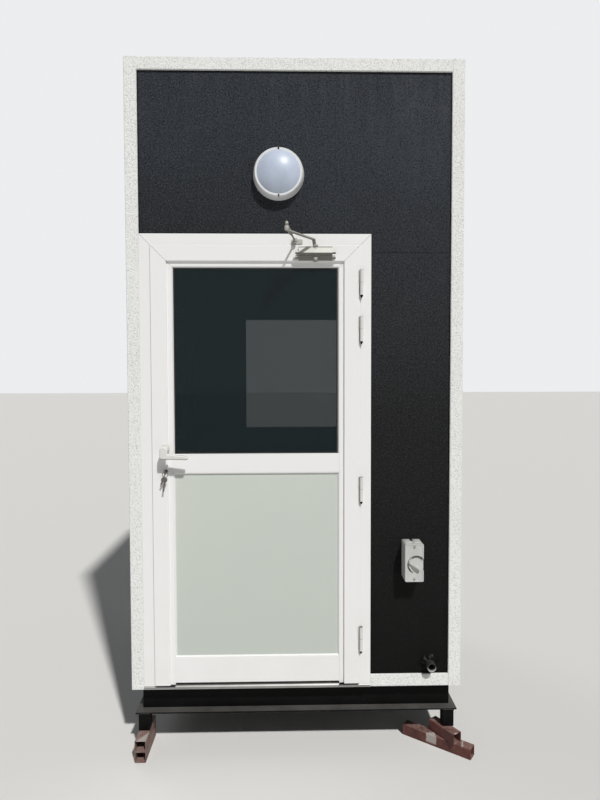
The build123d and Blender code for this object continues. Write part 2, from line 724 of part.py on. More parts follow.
def hanging_key(angle, length):
    """A spare key below the ring, with its blade's length, turned a little about the ring."""
    bow = forward_rod(KEY_BOW_RADIUS, 0, -KEY_BOW_RADIUS, 0, KEY_THICKNESS)
    half = KEY_BLADE_WIDTH / 2
    blade = block(-half, half, 0, KEY_THICKNESS, -KEY_BOW_RADIUS - length, -KEY_BOW_RADIUS)
    return Rot(0, angle, 0) * (bow + blade)


def keys():
    """The key in the lock with its ring and two spare keys."""
    z = HANDLE_Z - LOCK_DROP
    lock_face = LEAF_FRONT - LOCK_PROUD
    bow_y = lock_face - KEY_SHANK_LENGTH - KEY_BOW_RADIUS
    half = KEY_THICKNESS / 2
    bow = side_rod(KEY_BOW_RADIUS, HANDLE_X - half, HANDLE_X + half, bow_y, z)
    shank_half = KEY_SHANK_WIDTH / 2
    shank = block(HANDLE_X - half, HANDLE_X + half, bow_y, lock_face, z - shank_half, z + shank_half)
    ring_z = z - KEY_RING_RADIUS
    ring_half = KEY_RING_WIDTH / 2
    ring = forward_rod(KEY_RING_RADIUS + ring_half, HANDLE_X, ring_z, bow_y - ring_half, bow_y + ring_half)
    ring -= forward_rod(KEY_RING_RADIUS - ring_half, HANDLE_X, ring_z, bow_y - ring_half, bow_y + ring_half)
    hung = bow + shank + ring
    for number, (angle, length) in enumerate(zip(SPARE_KEY_ANGLES, SPARE_KEY_BLADES)):
        place = Pos(HANDLE_X, bow_y - number * KEY_THICKNESS, ring_z - KEY_RING_RADIUS)
        hung += place * hanging_key(angle, length)
    return hung


def closer_outline():
    """The closer body's section: depth from the leaf's face and height, with its grooves."""
    nose = (CLOSER_DEPTH, CLOSER_HEIGHT - CLOSER_NOSE_DROP)
    run = CLOSER_DEPTH - CLOSER_FOOT_DEPTH
    rise = CLOSER_HEIGHT - CLOSER_NOSE_DROP
    slant = hypot(run, rise)
    along = (run / slant, rise / slant)
    inward = (-rise / slant, run / slant)
    outline = [(0, 0), (CLOSER_FOOT_DEPTH, 0)]
    for number in range(1, CLOSER_GROOVES + 1):
        middle = slant * number / (CLOSER_GROOVES + 1)
        start = middle - CLOSER_GROOVE_WIDTH / 2
        end = middle + CLOSER_GROOVE_WIDTH / 2
        for distance, depth in ((start, 0), (start, 1), (end, 1), (end, 0)):
            sink = depth * CLOSER_GROOVE_DEPTH
            outline.append((
                CLOSER_FOOT_DEPTH + distance * along[0] + sink * inward[0],
                distance * along[1] + sink * inward[1],
            ))
    crest = (CLOSER_TOP_DEPTH, CLOSER_HEIGHT - CLOSER_CREST)
    return outline + [nose, crest, (CLOSER_TOP_DEPTH, CLOSER_HEIGHT), (0, CLOSER_HEIGHT)]


def closer_body():
    """The closer's body on the top rail: a sloping top, a grooved undercut, plugs and the spindle."""
    x0 = SPINDLE[0] - CLOSER_LENGTH / 2
    x1 = x0 + CLOSER_LENGTH
    place = Plane(origin=(x0, LEAF_FRONT, CLOSER_BOTTOM), x_dir=(0, -1, 0), z_dir=(-1, 0, 0))
    body = extrude(place * make_face(Polyline(*closer_outline(), close=True)), amount=-CLOSER_LENGTH)
    for depth, height in (UPPER_PLUG, LOWER_PLUG):
        y = LEAF_FRONT - depth
        body += side_rod(PLUG_RADIUS, x0 - PLUG_PROUD, x1 + PLUG_PROUD, y, CLOSER_BOTTOM + height)
    cap_bottom = CLOSER_BOTTOM - SPINDLE_CAP_DROP
    cap = rod(SPINDLE_CAP_RADIUS, *SPINDLE, cap_bottom, cap_bottom + SPINDLE_CAP_HEIGHT)
    shaft_bottom = CLOSER_TOP - CLOSER_NOSE_DROP / 2
    shaft = rod(SPINDLE_RADIUS, *SPINDLE, shaft_bottom, CLOSER_TOP + ARM_PLANE_CLEARANCE + ARM_THICKNESS / 2)
    return body + cap + shaft


def elbow_point():
    """Where both arms meet with the door shut, in plan."""
    run_x = SHOE_PIVOT[0] - SPINDLE[0]
    run_y = SHOE_PIVOT[1] - SPINDLE[1]
    span = hypot(run_x, run_y)
    along = (MAIN_ARM_LENGTH ** 2 - FOREARM_LENGTH ** 2 + span ** 2) / (2 * span)
    aside = (MAIN_ARM_LENGTH ** 2 - along ** 2) ** 0.5
    unit_x = run_x / span
    unit_y = run_y / span
    return SPINDLE[0] + along * unit_x - aside * unit_y, SPINDLE[1] + along * unit_y + aside * unit_x


ELBOW = elbow_point()


def heading(start, end):
    """The plan direction from one point to another, in degrees."""
    return degrees(atan2(end[1] - start[1], end[0] - start[0]))


def main_arm():
    """The flat main arm: a hub on the spindle, a riser, and an eye under the elbow."""
    place = Pos(*SPINDLE, MAIN_ARM_Z) * Rot(0, 0, heading(SPINDLE, ELBOW))
    hub_bottom = CLOSER_TOP + ARM_PLANE_CLEARANCE - MAIN_ARM_Z
    hub_top = hub_bottom + ARM_THICKNESS
    riser_end = ARM_RISER_START + ARM_RISER_RUN
    side = (
        (0, hub_bottom), (ARM_RISER_START, hub_bottom), (riser_end, 0), (MAIN_ARM_LENGTH, 0),
        (MAIN_ARM_LENGTH, ARM_THICKNESS), (riser_end - ARM_THICKNESS / 2, ARM_THICKNESS),
        (ARM_RISER_START - ARM_THICKNESS / 2, hub_top), (0, hub_top),
    )
    bar = upright_slab(side, -ARM_WIDTH / 2, ARM_WIDTH / 2)
    hub = rod(ARM_HUB_RADIUS, 0, 0, hub_bottom, hub_top)
    eye = rod(ARM_WIDTH / 2, MAIN_ARM_LENGTH, 0, 0, ARM_THICKNESS)
    bore_top = hub_bottom + ARM_THICKNESS / 2 + PIN_CLEARANCE
    bore = rod(SPINDLE_RADIUS + PIN_CLEARANCE, 0, 0, hub_bottom, bore_top)
    return place * (bar + hub + eye - bore)


def elbow_socket():
    """The forearm's end over the elbow: a round socket with a necked ball on top."""
    bottom = TURNING_CLEARANCE - FOREARM_SLEEVE_RADIUS - ELBOW_GAP
    low = ELBOW_BALL_HEIGHT - ELBOW_BALL_RADIUS / 2
    high = ELBOW_BALL_HEIGHT + ELBOW_BALL_RADIUS / 2
    top = ELBOW_BALL_HEIGHT + ELBOW_BALL_RADIUS
    return turned((
        (0, bottom), (ELBOW_RADIUS, bottom), (ELBOW_RADIUS, ELBOW_FLANGE_TOP),
        (ELBOW_NECK_RADIUS, ELBOW_FLANGE_TOP), (ELBOW_BALL_RADIUS, low), (ELBOW_BALL_RADIUS, high),
        (ELBOW_BALL_RADIUS / 2, top), (0, top),
    ))


def forearm():
    """The forearm: an eye on the shoe's pin, a rod rising into a sleeve, and a socket over the elbow."""
    place = Pos(*SHOE_PIVOT, SHOE_EYE_Z) * Rot(0, 0, heading(SHOE_PIVOT, ELBOW))
    slant = hypot(FOREARM_LENGTH, FOREARM_RISE)
    tilt = Rot(0, -degrees(atan(FOREARM_RISE / FOREARM_LENGTH)), 0)
    rod_part = tilt * side_rod(FOREARM_ROD_RADIUS, SHOE_EYE_RADIUS / 2, slant, 0, 0)
    sleeve = tilt * side_rod(FOREARM_SLEEVE_RADIUS, slant - FOREARM_SLEEVE_LENGTH, slant, 0, 0)
    socket = Pos(FOREARM_LENGTH, 0, FOREARM_RISE) * elbow_socket()
    half = SHOE_EYE_HEIGHT / 2
    eye = rod(SHOE_EYE_RADIUS, 0, 0, -half, half)
    bore = rod(SHOE_PIN_RADIUS + PIN_CLEARANCE, 0, 0, -half, half)
    return place * (rod_part + sleeve + eye + socket - bore)


def closer_shoe():
    """The bracket on the frame head: a plate, a lug and the pin that the forearm turns on."""
    x, y = SHOE_PIVOT
    low = LEAF_TOP + SHOE_ABOVE_LEAF
    lug_z = SHOE_EYE_Z + SHOE_EYE_HEIGHT / 2 + PIN_CLEARANCE
    x0 = x - SHOE_PIVOT_FROM_END
    plate = block(x0, x0 + SHOE_WIDTH, -SHOE_PLATE, 0, low, lug_z + SHOE_LUG)
    plate = fillet(plate.edges().filter_by(Axis.Y), SHOE_CORNER_RADIUS)
    lug = block(x - SHOE_EYE_RADIUS, x + SHOE_EYE_RADIUS, y, -SHOE_PLATE / 2, lug_z, lug_z + SHOE_LUG)
    lug += rod(SHOE_EYE_RADIUS, x, y, lug_z, lug_z + SHOE_LUG)
    return plate + lug + rod(SHOE_PIN_RADIUS, x, y, SHOE_EYE_Z - SHOE_EYE_HEIGHT / 2, lug_z)


def light_place():
    """The light's centre on the face of the upper board, facing out."""
    return Pos(LIGHT_X, BOARD_SETBACK, FRAME_TOP + LIGHT_ABOVE_FRAME + LIGHT_BASE_RADIUS) * Rot(90, 0, 0)


def light_housing():
    """The round bulkhead light's housing: a drum that narrows to its notched front ring."""
    seat = LIGHT_DEPTH / 2
    drum = turned((
        (0, 0), (LIGHT_BASE_RADIUS, 0), (LIGHT_SHOULDER_RADIUS, LIGHT_SHOULDER_DEPTH),
        (LIGHT_RING_RADIUS, LIGHT_DEPTH), (DIFFUSER_RADIUS, LIGHT_DEPTH), (DIFFUSER_RADIUS, seat), (0, seat),
    ))
    notch = Box(LIGHT_NOTCH, LIGHT_NOTCH, 2 * LIGHT_NOTCH_DEPTH)
    for side in (-1, 1):
        drum -= Pos(0, side * LIGHT_RING_RADIUS, LIGHT_DEPTH) * notch
    return light_place() * drum


def light_diffuser():
    """The domed diffuser seated in the ring."""
    half_angle = 2 * atan(DIFFUSER_RISE / DIFFUSER_RADIUS)
    ball_radius = DIFFUSER_RADIUS / sin(half_angle)
    crown = LIGHT_DEPTH + DIFFUSER_RISE
    outline = [(0, LIGHT_DEPTH / 2), (DIFFUSER_RADIUS, LIGHT_DEPTH / 2), (DIFFUSER_RADIUS, LIGHT_DEPTH)]
    for step in range(DIFFUSER_STEPS - 1, 0, -1):
        angle = half_angle * step / DIFFUSER_STEPS
        sag = 2 * ball_radius * sin(angle / 2) ** 2
        outline.append((ball_radius * sin(angle), crown - sag))
    outline.append((0, crown))
    return light_place() * turned(outline)


def isolator_place():
    """The isolator's centre on the face of the lower board, facing out."""
    return Pos(ISOLATOR_X, BOARD_SETBACK, CABIN_BASE + ISOLATOR_HEIGHT_ABOVE_BASE) * Rot(90, 0, 0)


def isolator_slab(inset, start, end):
    """One layer of the isolator's enclosure, with rounded corners."""
    width = ISOLATOR_WIDTH - 2 * inset
    tall = ISOLATOR_TALL - 2 * inset
    slab = block(-width / 2, width / 2, -tall / 2, tall / 2, start, end)
    return fillet(slab.edges().filter_by(Axis.Z), ISOLATOR_CORNER_RADIUS)


def isolator_box():
    """The isolator's enclosure: a base, a groove and a rimmed lid with a round recess for the dial."""
    lid_start = ISOLATOR_DEPTH - ISOLATOR_LID
    floor_z = ISOLATOR_DEPTH - ISOLATOR_RIM_PROUD
    recess_floor = floor_z - DIAL_RECESS
    box = isolator_slab(0, 0, lid_start - ISOLATOR_GROOVE)
    box += isolator_slab(ISOLATOR_GROOVE_INSET, lid_start - ISOLATOR_GROOVE, lid_start)
    box += isolator_slab(0, lid_start, ISOLATOR_DEPTH)
    box -= isolator_slab(ISOLATOR_RIM, floor_z, ISOLATOR_DEPTH)
    box -= rod(DIAL_RECESS_RADIUS, *DIAL_CENTRE, recess_floor, ISOLATOR_DEPTH)
    box -= rod(DIAL_STEM_RADIUS + PIN_CLEARANCE, *DIAL_CENTRE, lid_start, recess_floor)
    return isolator_place() * box


def dial_fin(start, length, angle, bottom, height):
    """A raised fin on the dial, from one end to the other, kept within the dial's sweep."""
    half = FIN_THICKNESS / 2
    fin = Pos(*start, 0) * Rot(0, 0, angle) * block(0, length, -half, half, bottom, bottom + height)
    return fin & rod(DIAL_RECESS_RADIUS - FIN_THICKNESS, 0, 0, bottom, bottom + height)


def isolator_knob():
    """The isolator's turning knob: a stem in the lid, a dial, a handle fin and a pointer fin."""
    recess_floor = ISOLATOR_DEPTH - ISOLATOR_RIM_PROUD - DIAL_RECESS
    face = recess_floor + TURNING_CLEARANCE
    top = face + DIAL_THICKNESS
    stem = rod(DIAL_STEM_RADIUS, 0, 0, ISOLATOR_DEPTH - ISOLATOR_LID + PIN_CLEARANCE, face)
    knob = stem + rod(DIAL_RADIUS, 0, 0, face, top)
    for start, length, angle, height in (
        (HANDLE_FIN_START, HANDLE_FIN_LENGTH, HANDLE_FIN_ANGLE, HANDLE_FIN_HEIGHT),
        (POINTER_FIN_START, POINTER_FIN_LENGTH, POINTER_FIN_ANGLE, POINTER_FIN_HEIGHT),
    ):
        knob += dial_fin(start, length, angle, face, height)
    return isolator_place() * Pos(*DIAL_CENTRE, 0) * knob


def cable_pipe():
    """The short pipe for the supply cable, standing out of the lower board."""
    z = CABIN_BASE + PIPE_HEIGHT_ABOVE_BASE
    front = BOARD_SETBACK - PIPE_PROUD
    outer = forward_rod(PIPE_RADIUS, PIPE_X, z, front, BOARD_SETBACK)
    return outer - forward_rod(PIPE_BORE, PIPE_X, z, front, BOARD_SETBACK)


def cabin_nodes():
    """The nodes of the cabin's shell."""
    back = back_wall_place()
    left = left_wall_place()
    right = right_wall_place()
    back_over, back_under, back_beside = wall_boards(CABIN_WIDTH)
    side_over, side_under, side_beside = wall_boards(CABIN_DEPTH)
    return {
        "front_corner_posts": corner_posts(0),
        "back_corner_posts": corner_posts(CABIN_DEPTH - RIM_FACE),
        "top_rails": rails(CABIN_TOP - RIM_FACE, INNER_LEFT),
        "bottom_rails": rails(CABIN_BASE, FRAME_RIGHT),
        "front_board_upper": [front_board_upper()],
        "front_board_lower": [front_board_lower()],
        "back_board_over_window": [back * back_over],
        "back_board_under_window": [back * back_under],
        "back_boards_beside_window": [back * board for board in back_beside],
        "side_boards_over_windows": [left * side_over, right * side_over],
        "side_boards_under_windows": [left * side_under, right * side_under],
        "side_boards_beside_windows": [place * board for board in side_beside for place in (left, right)],
        "back_window_frame": [back * window_frame()],
        "left_window_frame": [left * window_frame()],
        "right_window_frame": [right * window_frame()],
        "window_panes": [place * window_pane() for place in (back, left, right)],
        "roof_panel": [roof()],
        "floor_deck": [floor()],
    }


def skid_nodes():
    """The nodes of the skid, its leg stubs and the packers under them."""
    low_packers, high_packers = front_packers()
    legs = [leg(-LEG_X), leg(LEG_X)]
    return {
        "front_back_skid_channels": [front_channel(), turned_about_plan_centre(front_channel())],
        "side_skid_channels": [right_channel(), turned_about_plan_centre(right_channel())],
        "floor_joists": joists(),
        "leg_stubs": legs + [turned_about_plan_centre(stub) for stub in legs],
        "lower_packer_tubes": low_packers + [turned_about_plan_centre(tube) for tube in low_packers],
        "upper_packer_tubes": high_packers + [turned_about_plan_centre(tube) for tube in high_packers],
    }


def door_nodes():
    """The nodes of the door frame, the leaf and everything fixed to them."""
    return {
        "door_frame_jambs": [frame_jamb(), across_doorway(frame_jamb())],
        "door_frame_head": [frame_head()],
        "threshold": [threshold()],
        "frame_hinge_halves": [frame_hinge_half(centre) for centre in hinge_centres()],
        "closer_shoe": [closer_shoe()],
        "leaf_stiles": [leaf_stile(), across_doorway(leaf_stile())],
        "leaf_top_rail": [leaf_top_rail()],
        "leaf_mid_rail": [leaf_cross_rail(MID_RAIL_BOTTOM, MID_RAIL_TOP)],
        "leaf_bottom_rail": [leaf_cross_rail(BOTTOM_RAIL_BOTTOM, BOTTOM_RAIL_TOP)],
        "glazing_beads": on_both_faces([
            bead_ring(MID_RAIL_TOP, FIELD_TOP), bead_ring(BOTTOM_RAIL_TOP, MID_RAIL_BOTTOM),
        ]),
        "glazing_gaskets": on_both_faces([glass_gasket()]),
        "door_glass": [leaf_pane(MID_RAIL_TOP, FIELD_TOP)],
        "door_lower_panel": [leaf_pane(BOTTOM_RAIL_TOP, MID_RAIL_BOTTOM)],
        "leaf_hinge_halves": [leaf_hinge_half(centre) for centre in hinge_centres()],
        "handle_roses": on_both_faces([rose()]),
        "lock_cylinder": on_both_faces([lock_cylinder()]),
        "keys": [keys()],
        "closer_body": [closer_body()],
        "lever_handles": on_both_faces([lever()]),
        "closer_main_arm": [main_arm()],
        "closer_forearm": [forearm()],
    }


def fitting_nodes():
    """The nodes of the fittings on the front boards."""
    return {
        "light_housing": [light_housing()],
        "light_diffuser": [light_diffuser()],
        "isolator_box": [isolator_box()],
        "isolator_knob": [isolator_knob()],
        "cable_pipe": [cable_pipe()],
    }


def all_nodes():
    """Every node of the booth in the site frame, by name."""
    return {**cabin_nodes(), **skid_nodes(), **door_nodes(), **fitting_nodes()}


def solids_of(pieces):
    """The separate solids of a list of pieces."""
    return [solid for piece in pieces for solid in piece.solids()]


def move_home(nodes):
    """The move that puts the origin on the ground, at the middle of the whole booth's box."""
    box = Compound([solid for solids in nodes.values() for solid in solids]).bounding_box()
    return Pos(-(box.min.X + box.max.X) / 2, -(box.min.Y + box.max.Y) / 2, -box.min.Z)


def main():
    """Writes every node in the booth's own frame."""
    nodes = {name: solids_of(pieces) for name, pieces in all_nodes().items()}
    home = move_home(nodes)
    os.makedirs("parts", exist_ok=True)
    for name, solids in nodes.items():
        moved = [home * solid for solid in solids]
        shape = moved[0] if len(moved) == 1 else Compound(moved)
        export_step(shape, f"parts/{name}.step")


if __name__ == "__main__":
    main()
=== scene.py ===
"""Looks of the guard booth: finishes, small fixings, floor, light and camera round the fixed frame."""
import json
import math

import bmesh
import bpy
from mathutils import Matrix, Vector, noise


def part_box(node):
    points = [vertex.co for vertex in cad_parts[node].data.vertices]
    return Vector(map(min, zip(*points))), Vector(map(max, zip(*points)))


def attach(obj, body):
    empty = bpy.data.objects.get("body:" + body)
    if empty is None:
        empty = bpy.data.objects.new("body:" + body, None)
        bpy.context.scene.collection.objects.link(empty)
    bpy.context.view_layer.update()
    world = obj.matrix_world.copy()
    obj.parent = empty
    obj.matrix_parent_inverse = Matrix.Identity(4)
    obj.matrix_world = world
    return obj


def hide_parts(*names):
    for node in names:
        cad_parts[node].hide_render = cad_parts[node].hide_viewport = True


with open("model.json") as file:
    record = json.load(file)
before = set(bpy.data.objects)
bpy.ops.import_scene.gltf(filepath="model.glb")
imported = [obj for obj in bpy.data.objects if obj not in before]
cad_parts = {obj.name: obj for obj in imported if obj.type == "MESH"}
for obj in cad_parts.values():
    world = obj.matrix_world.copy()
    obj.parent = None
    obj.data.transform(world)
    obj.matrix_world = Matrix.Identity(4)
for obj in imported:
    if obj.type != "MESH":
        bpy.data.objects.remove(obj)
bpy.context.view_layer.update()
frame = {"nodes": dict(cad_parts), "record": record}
nodes = frame["nodes"]

# Lines of the booth, read from the frame, in metres
POSTS_LOW, POSTS_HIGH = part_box("front_corner_posts")
FRONT_Y = POSTS_LOW.y
MIDDLE_X = (POSTS_LOW.x + POSTS_HIGH.x) / 2
CABIN_BASE = POSTS_LOW.z
CABIN_TOP = POSTS_HIGH.z
SEAM_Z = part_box("front_board_lower")[1].z

# Camera, worked out from the booth in the photograph: pixels, millimetres, then metres and radians
IMAGE_HEIGHT = 800
FOCAL_PIXELS = 585
SENSOR_HEIGHT = 36
CAMERA_FROM_MIDDLE = -0.039
CAMERA_FROM_FRONT = 2.617
CAMERA_HEIGHT = 1.717
CAMERA_YAW = math.radians(1.227)
CAMERA_PITCH = math.radians(-2.291)
CAMERA_ROLL = math.radians(0.139)

# Lamps: direction to each, strength, width in the sky in degrees, and colour
KEY_TOWARDS = (0.43, -1.0, 1.27)
KEY_STRENGTH = 3.1
KEY_SOFTNESS = 2.5
KEY_COLOUR = (1.0, 0.99, 0.97)
BACK_TOWARDS = (-0.8, 1.0, 0.9)
BACK_STRENGTH = 0.3
BACK_SOFTNESS = 25
BACK_COLOUR = (0.97, 0.985, 1.0)

# Studio: what the surround gives, what shows behind the booth, and the floor in metres
WORLD_LIGHT = 0.10
WORLD_COLOUR = (0.93, 0.96, 1.0, 1)
BACKDROP_COLOUR = (0.84, 0.85, 0.86, 1)
FLOOR_COLOUR = (0.74, 0.735, 0.72)
FLOOR_REACH = 60

# Sizes of the booth's pieces that the added pieces and the paint follow, in metres
FRAME_FACE = 0.051
LEAF_FACE = 0.092
LIGHT_RING_WIDTH = 0.008
DIAL_FROM_MIDDLE = (0.009, -0.008)
DIAL_RECESS = 0.008
HINGE_RADIUS = 0.0075
HINGE_LENGTH = 0.110
HINGE_PLATE = 0.003
HINGE_HEIGHTS = (0.210, 0.893, 1.610, 1.815)
CLOSER_CAP_DROP = 0.007
LEG_SIZE = 0.050
PACKER_SIZE = 0.050

# Old paint on the packer tubes: each mark's lowest point, and its outline from above,
# from the middle and front of the cabin, in metres
OLD_PAINT_MARKS = (
    (0.097, ((-0.720, -0.070), (-0.668, -0.070), (-0.668, 0.012))),
    (0.012, ((0.608, -0.080), (0.640, -0.080), (0.645, 0.045), (0.604, 0.045))),
    (0.055, ((0.712, -0.095), (0.728, -0.095), (0.728, -0.040), (0.712, -0.040))),
    (0.045, ((0.738, -0.062), (0.747, -0.062), (0.762, -0.018), (0.755, -0.018))),
)

# Sealant pressed round the pipe: out from the pipe's skin and out of the board, in metres
SEALANT_OUTLINE = (
    (-0.001, 0.0), (-0.001, 0.013), (0.003, 0.013), (0.008, 0.010), (0.015, 0.006), (0.019, 0.0),
)

# A screw head's outline, in shares of its radius
SCREW_OUTLINE = (
    (0, 0), (1, 0), (1, 0.25), (0.8, 0.45), (0.45, 0.5), (0.38, 0.15), (0, 0.15),
)

# How finely round pieces are made
DOME_STEPS_UP = 20
DOME_STEPS_ROUND = 96
SEALANT_STEPS = 48
PIN_STEPS = 32
HINGE_STEPS = 24
SCREW_STEPS = 20
ARC_STEPS = 16
WELD_RIPPLES = 8
SMOOTH_BELOW = math.radians(40)

# Directions
FRONT = (0, -1, 0)
UP = (0, 0, 1)
DOWN = (0, 0, -1)


def sides(corners):
    """The sides of a closed outline, each as its two corners."""
    return zip(corners, corners[1:] + corners[:1])


class Paint:
    """One material's node graph, on the object's own coordinates in metres."""

    def __init__(self, name, metallic=0.0, specular=0.5):
        self.material = bpy.data.materials.new(name)
        self.material.use_nodes = True
        self.tree = self.material.node_tree
        self.shader = self.tree.nodes["Principled BSDF"]
        self.place = self.add("ShaderNodeTexCoord").outputs["Object"]
        self.set("Metallic", metallic)
        self.set("Specular IOR Level", specular)

    def set(self, socket, value):
        """Links one of the shader's inputs, or sets it the same all over."""
        self.feed(self.shader.inputs[socket], value)

    def feed(self, socket, value):
        """Links a socket, or sets it to a number, a vector or a colour."""
        if isinstance(value, bpy.types.NodeSocket):
            self.tree.links.new(value, socket)
        elif socket.type == "RGBA":
            socket.default_value = (*value, 1)
        else:
            socket.default_value = value

    def add(self, kind, **settings):
        """A new node with its settings."""
        node = self.tree.nodes.new(kind)
        for name, value in settings.items():
            setattr(node, name, value)
        return node

    def math(self, operation, a, b):
        """One sum on two numbers."""
        node = self.add("ShaderNodeMath", operation=operation)
        self.feed(node.inputs[0], a)
        self.feed(node.inputs[1], b)
        return node.outputs[0]

    def times(self, a, b):
        """Two numbers multiplied."""
        return self.math("MULTIPLY", a, b)

    def part(self, vector, name):
        """The x, y or z of a vector."""
        node = self.add("ShaderNodeSeparateXYZ")
        self.feed(node.inputs[0], vector)
        return node.outputs[name]

    def axis(self, name):
        """The x, y or z of a point on the surface."""
        return self.part(self.place, name)

    def upward(self):
        """How far the surface faces up: 1 on top, -1 underneath."""
        return self.part(self.add("ShaderNodeNewGeometry").outputs["Normal"], "Z")

    def stretched(self, stretch):
        """Coordinates scaled along each axis."""
        node = self.add("ShaderNodeMapping")
        self.feed(node.inputs["Vector"], self.place)
        self.feed(node.inputs["Scale"], stretch)
        return node.outputs[0]

    def noise(self, scale, detail, rough, stretch=None):
        """Cloudy noise with that many features to the metre."""
        node = self.add("ShaderNodeTexNoise")
        self.feed(node.inputs["Vector"], self.stretched(stretch) if stretch else self.place)
        self.feed(node.inputs["Scale"], scale)
        self.feed(node.inputs["Detail"], detail)
        self.feed(node.inputs["Roughness"], rough)
        return node.outputs["Fac"]

    def cells(self, scale):
        """Distance to scattered points, with that many to the metre."""
        node = self.add("ShaderNodeTexVoronoi")
        self.feed(node.inputs["Vector"], self.place)
        self.feed(node.inputs["Scale"], scale)
        return node.outputs["Distance"]

    def band(self, value, low, high, out_low=0.0, out_high=1.0):
        """A value taken from one range to another, and held at its ends."""
        node = self.add("ShaderNodeMapRange")
        self.feed(node.inputs["Value"], value)
        self.feed(node.inputs["From Min"], low)
        self.feed(node.inputs["From Max"], high)
        self.feed(node.inputs["To Min"], out_low)
        self.feed(node.inputs["To Max"], out_high)
        return node.outputs[0]

    def inside(self, corners):
        """1 inside an outline seen from above, its corners against the clock, with a worn edge."""
        ragged = 0.012
        edge_low = -0.0005
        edge_high = 0.0015
        depth = None
        for (x, y), (next_x, next_y) in sides(corners):
            inward = Vector((y - next_y, next_x - x, 0)).normalized()
            dot = self.add("ShaderNodeVectorMath", operation="DOT_PRODUCT")
            self.feed(dot.inputs[0], self.place)
            self.feed(dot.inputs[1], inward)
            side = self.math("SUBTRACT", dot.outputs["Value"], inward.dot(Vector((x, y, 0))))
            depth = side if depth is None else self.math("MINIMUM", depth, side)
        swing = self.math("SUBTRACT", self.noise(90, detail=4, rough=0.6), 0.5)
        return self.band(self.math("ADD", depth, self.times(swing, ragged)), edge_low, edge_high)

    def mix(self, factor, a, b):
        """A colour between two colours."""
        node = self.add("ShaderNodeMix", data_type="RGBA")
        self.feed(node.inputs["Factor"], factor)
        self.feed(node.inputs[6], a)
        self.feed(node.inputs[7], b)
        return node.outputs[2]

    def cover(self, tone, colour, mask, share):
        """A tone with a colour laid over it by a mask, up to a share of full cover."""
        return self.mix(self.times(mask, share), tone, colour)

    def bump(self, *layers):
        """Relief from (height, depth in metres) layers."""
        normal = None
        for height, depth in layers:
            node = self.add("ShaderNodeBump")
            self.feed(node.inputs["Height"], height)
            self.feed(node.inputs["Distance"], depth)
            if normal is not None:
                self.feed(node.inputs["Normal"], normal)
            normal = node.outputs[0]
        self.set("Normal", normal)


def rim_paint():
    """White coarse coating sprayed over the posts and rails."""
    white = (0.88, 0.89, 0.88)
    pit_grey = (0.52, 0.525, 0.51)
    dust_grey = (0.70, 0.69, 0.65)
    paint = Paint("rim_paint", specular=0.3)
    grain = paint.noise(165, detail=3, rough=0.65)
    fine = paint.noise(380, detail=2, rough=0.5)
    # Grey in the low spots of the grain that also gives the relief: painted shade in the coating's
    # pits.
    pits = paint.band(grain, 0.34, 0.50, 1, 0)
    dust = paint.band(paint.noise(3, detail=4, rough=0.6), 0.45, 0.75)
    tone = paint.cover(white, pit_grey, pits, share=0.7)
    paint.set("Base Color", paint.cover(tone, dust_grey, dust, share=0.25))
    paint.set("Roughness", 0.7)
    paint.bump((grain, 0.0042), (fine, 0.0012))
    return paint.material


def board_tone_and_painted_light(paint, height):
    """The boards' tone: near black at the foot and blue-grey above, lighter to the right where faded;
    the rise with height and the blue are painted reflection of the sky over some real difference
    between the boards, with painted shade over the door on the left.
    """
    foot_black = (0.0018, 0.0015, 0.0010)
    top_grey = (0.034, 0.035, 0.036)
    upper_blue = (0.034, 0.042, 0.055)
    faded_and_sheen_blue = (0.098, 0.110, 0.130)
    cloud_grey = (0.012, 0.012, 0.013)
    painted_shade_black = (0.008, 0.008, 0.008)
    up = paint.axis("Z")
    across = paint.axis("X")
    upper = paint.band(up, SEAM_Z - 0.7, SEAM_Z + 0.4)
    right = paint.band(across, MIDDLE_X - 0.3, MIDDLE_X + 0.6)
    clouds = paint.band(paint.noise(2.2, detail=5, rough=0.6), 0.3, 0.7, 0, 0.3)
    over_door = paint.band(up, SEAM_Z + 0.45, SEAM_Z + 0.05)
    left = paint.band(across, MIDDLE_X + 0.2, MIDDLE_X - 0.3)
    # Painted reflection of the sky: near black low down, bluer and paler up high, over some real
    # difference in tone between the boards.
    tone = paint.mix(height, foot_black, top_grey)
    tone = paint.cover(tone, upper_blue, upper, share=0.75)
    tone = paint.cover(tone, faded_and_sheen_blue, paint.times(upper, right), share=0.15)
    tone = paint.mix(clouds, tone, cloud_grey)
    # Painted shade over the door on the left.
    return paint.cover(tone, painted_shade_black, paint.times(over_door, left), share=0.4)


def board_dust(paint, tone):
    """Dust on the boards: streaks that rain left high up, and patches in the upper right corner."""
    streak_grey = (0.09, 0.10, 0.115)
    patch_grey = (0.10, 0.105, 0.12)
    up = paint.axis("Z")
    across = paint.axis("X")
    streaks = paint.noise(9, detail=6, rough=0.65, stretch=(3.5, 3.5, 0.35))
    high = paint.band(up, SEAM_Z + 0.25, CABIN_TOP)
    dust = paint.times(paint.band(streaks, 0.46, 0.72), high)
    rained = paint.band(across, MIDDLE_X - 0.2, MIDDLE_X + 0.5, 0.25, 0.55)
    tone = paint.cover(tone, streak_grey, dust, share=rained)
    top = paint.band(up, CABIN_TOP - 0.4, CABIN_TOP - 0.1)
    far_right = paint.band(across, MIDDLE_X + 0.25, MIDDLE_X + 0.6)
    spots = paint.band(paint.noise(8, detail=5, rough=0.65), 0.46, 0.62)
    patches = paint.times(paint.times(top, far_right), spots)
    return paint.cover(tone, patch_grey, patches, share=0.4)


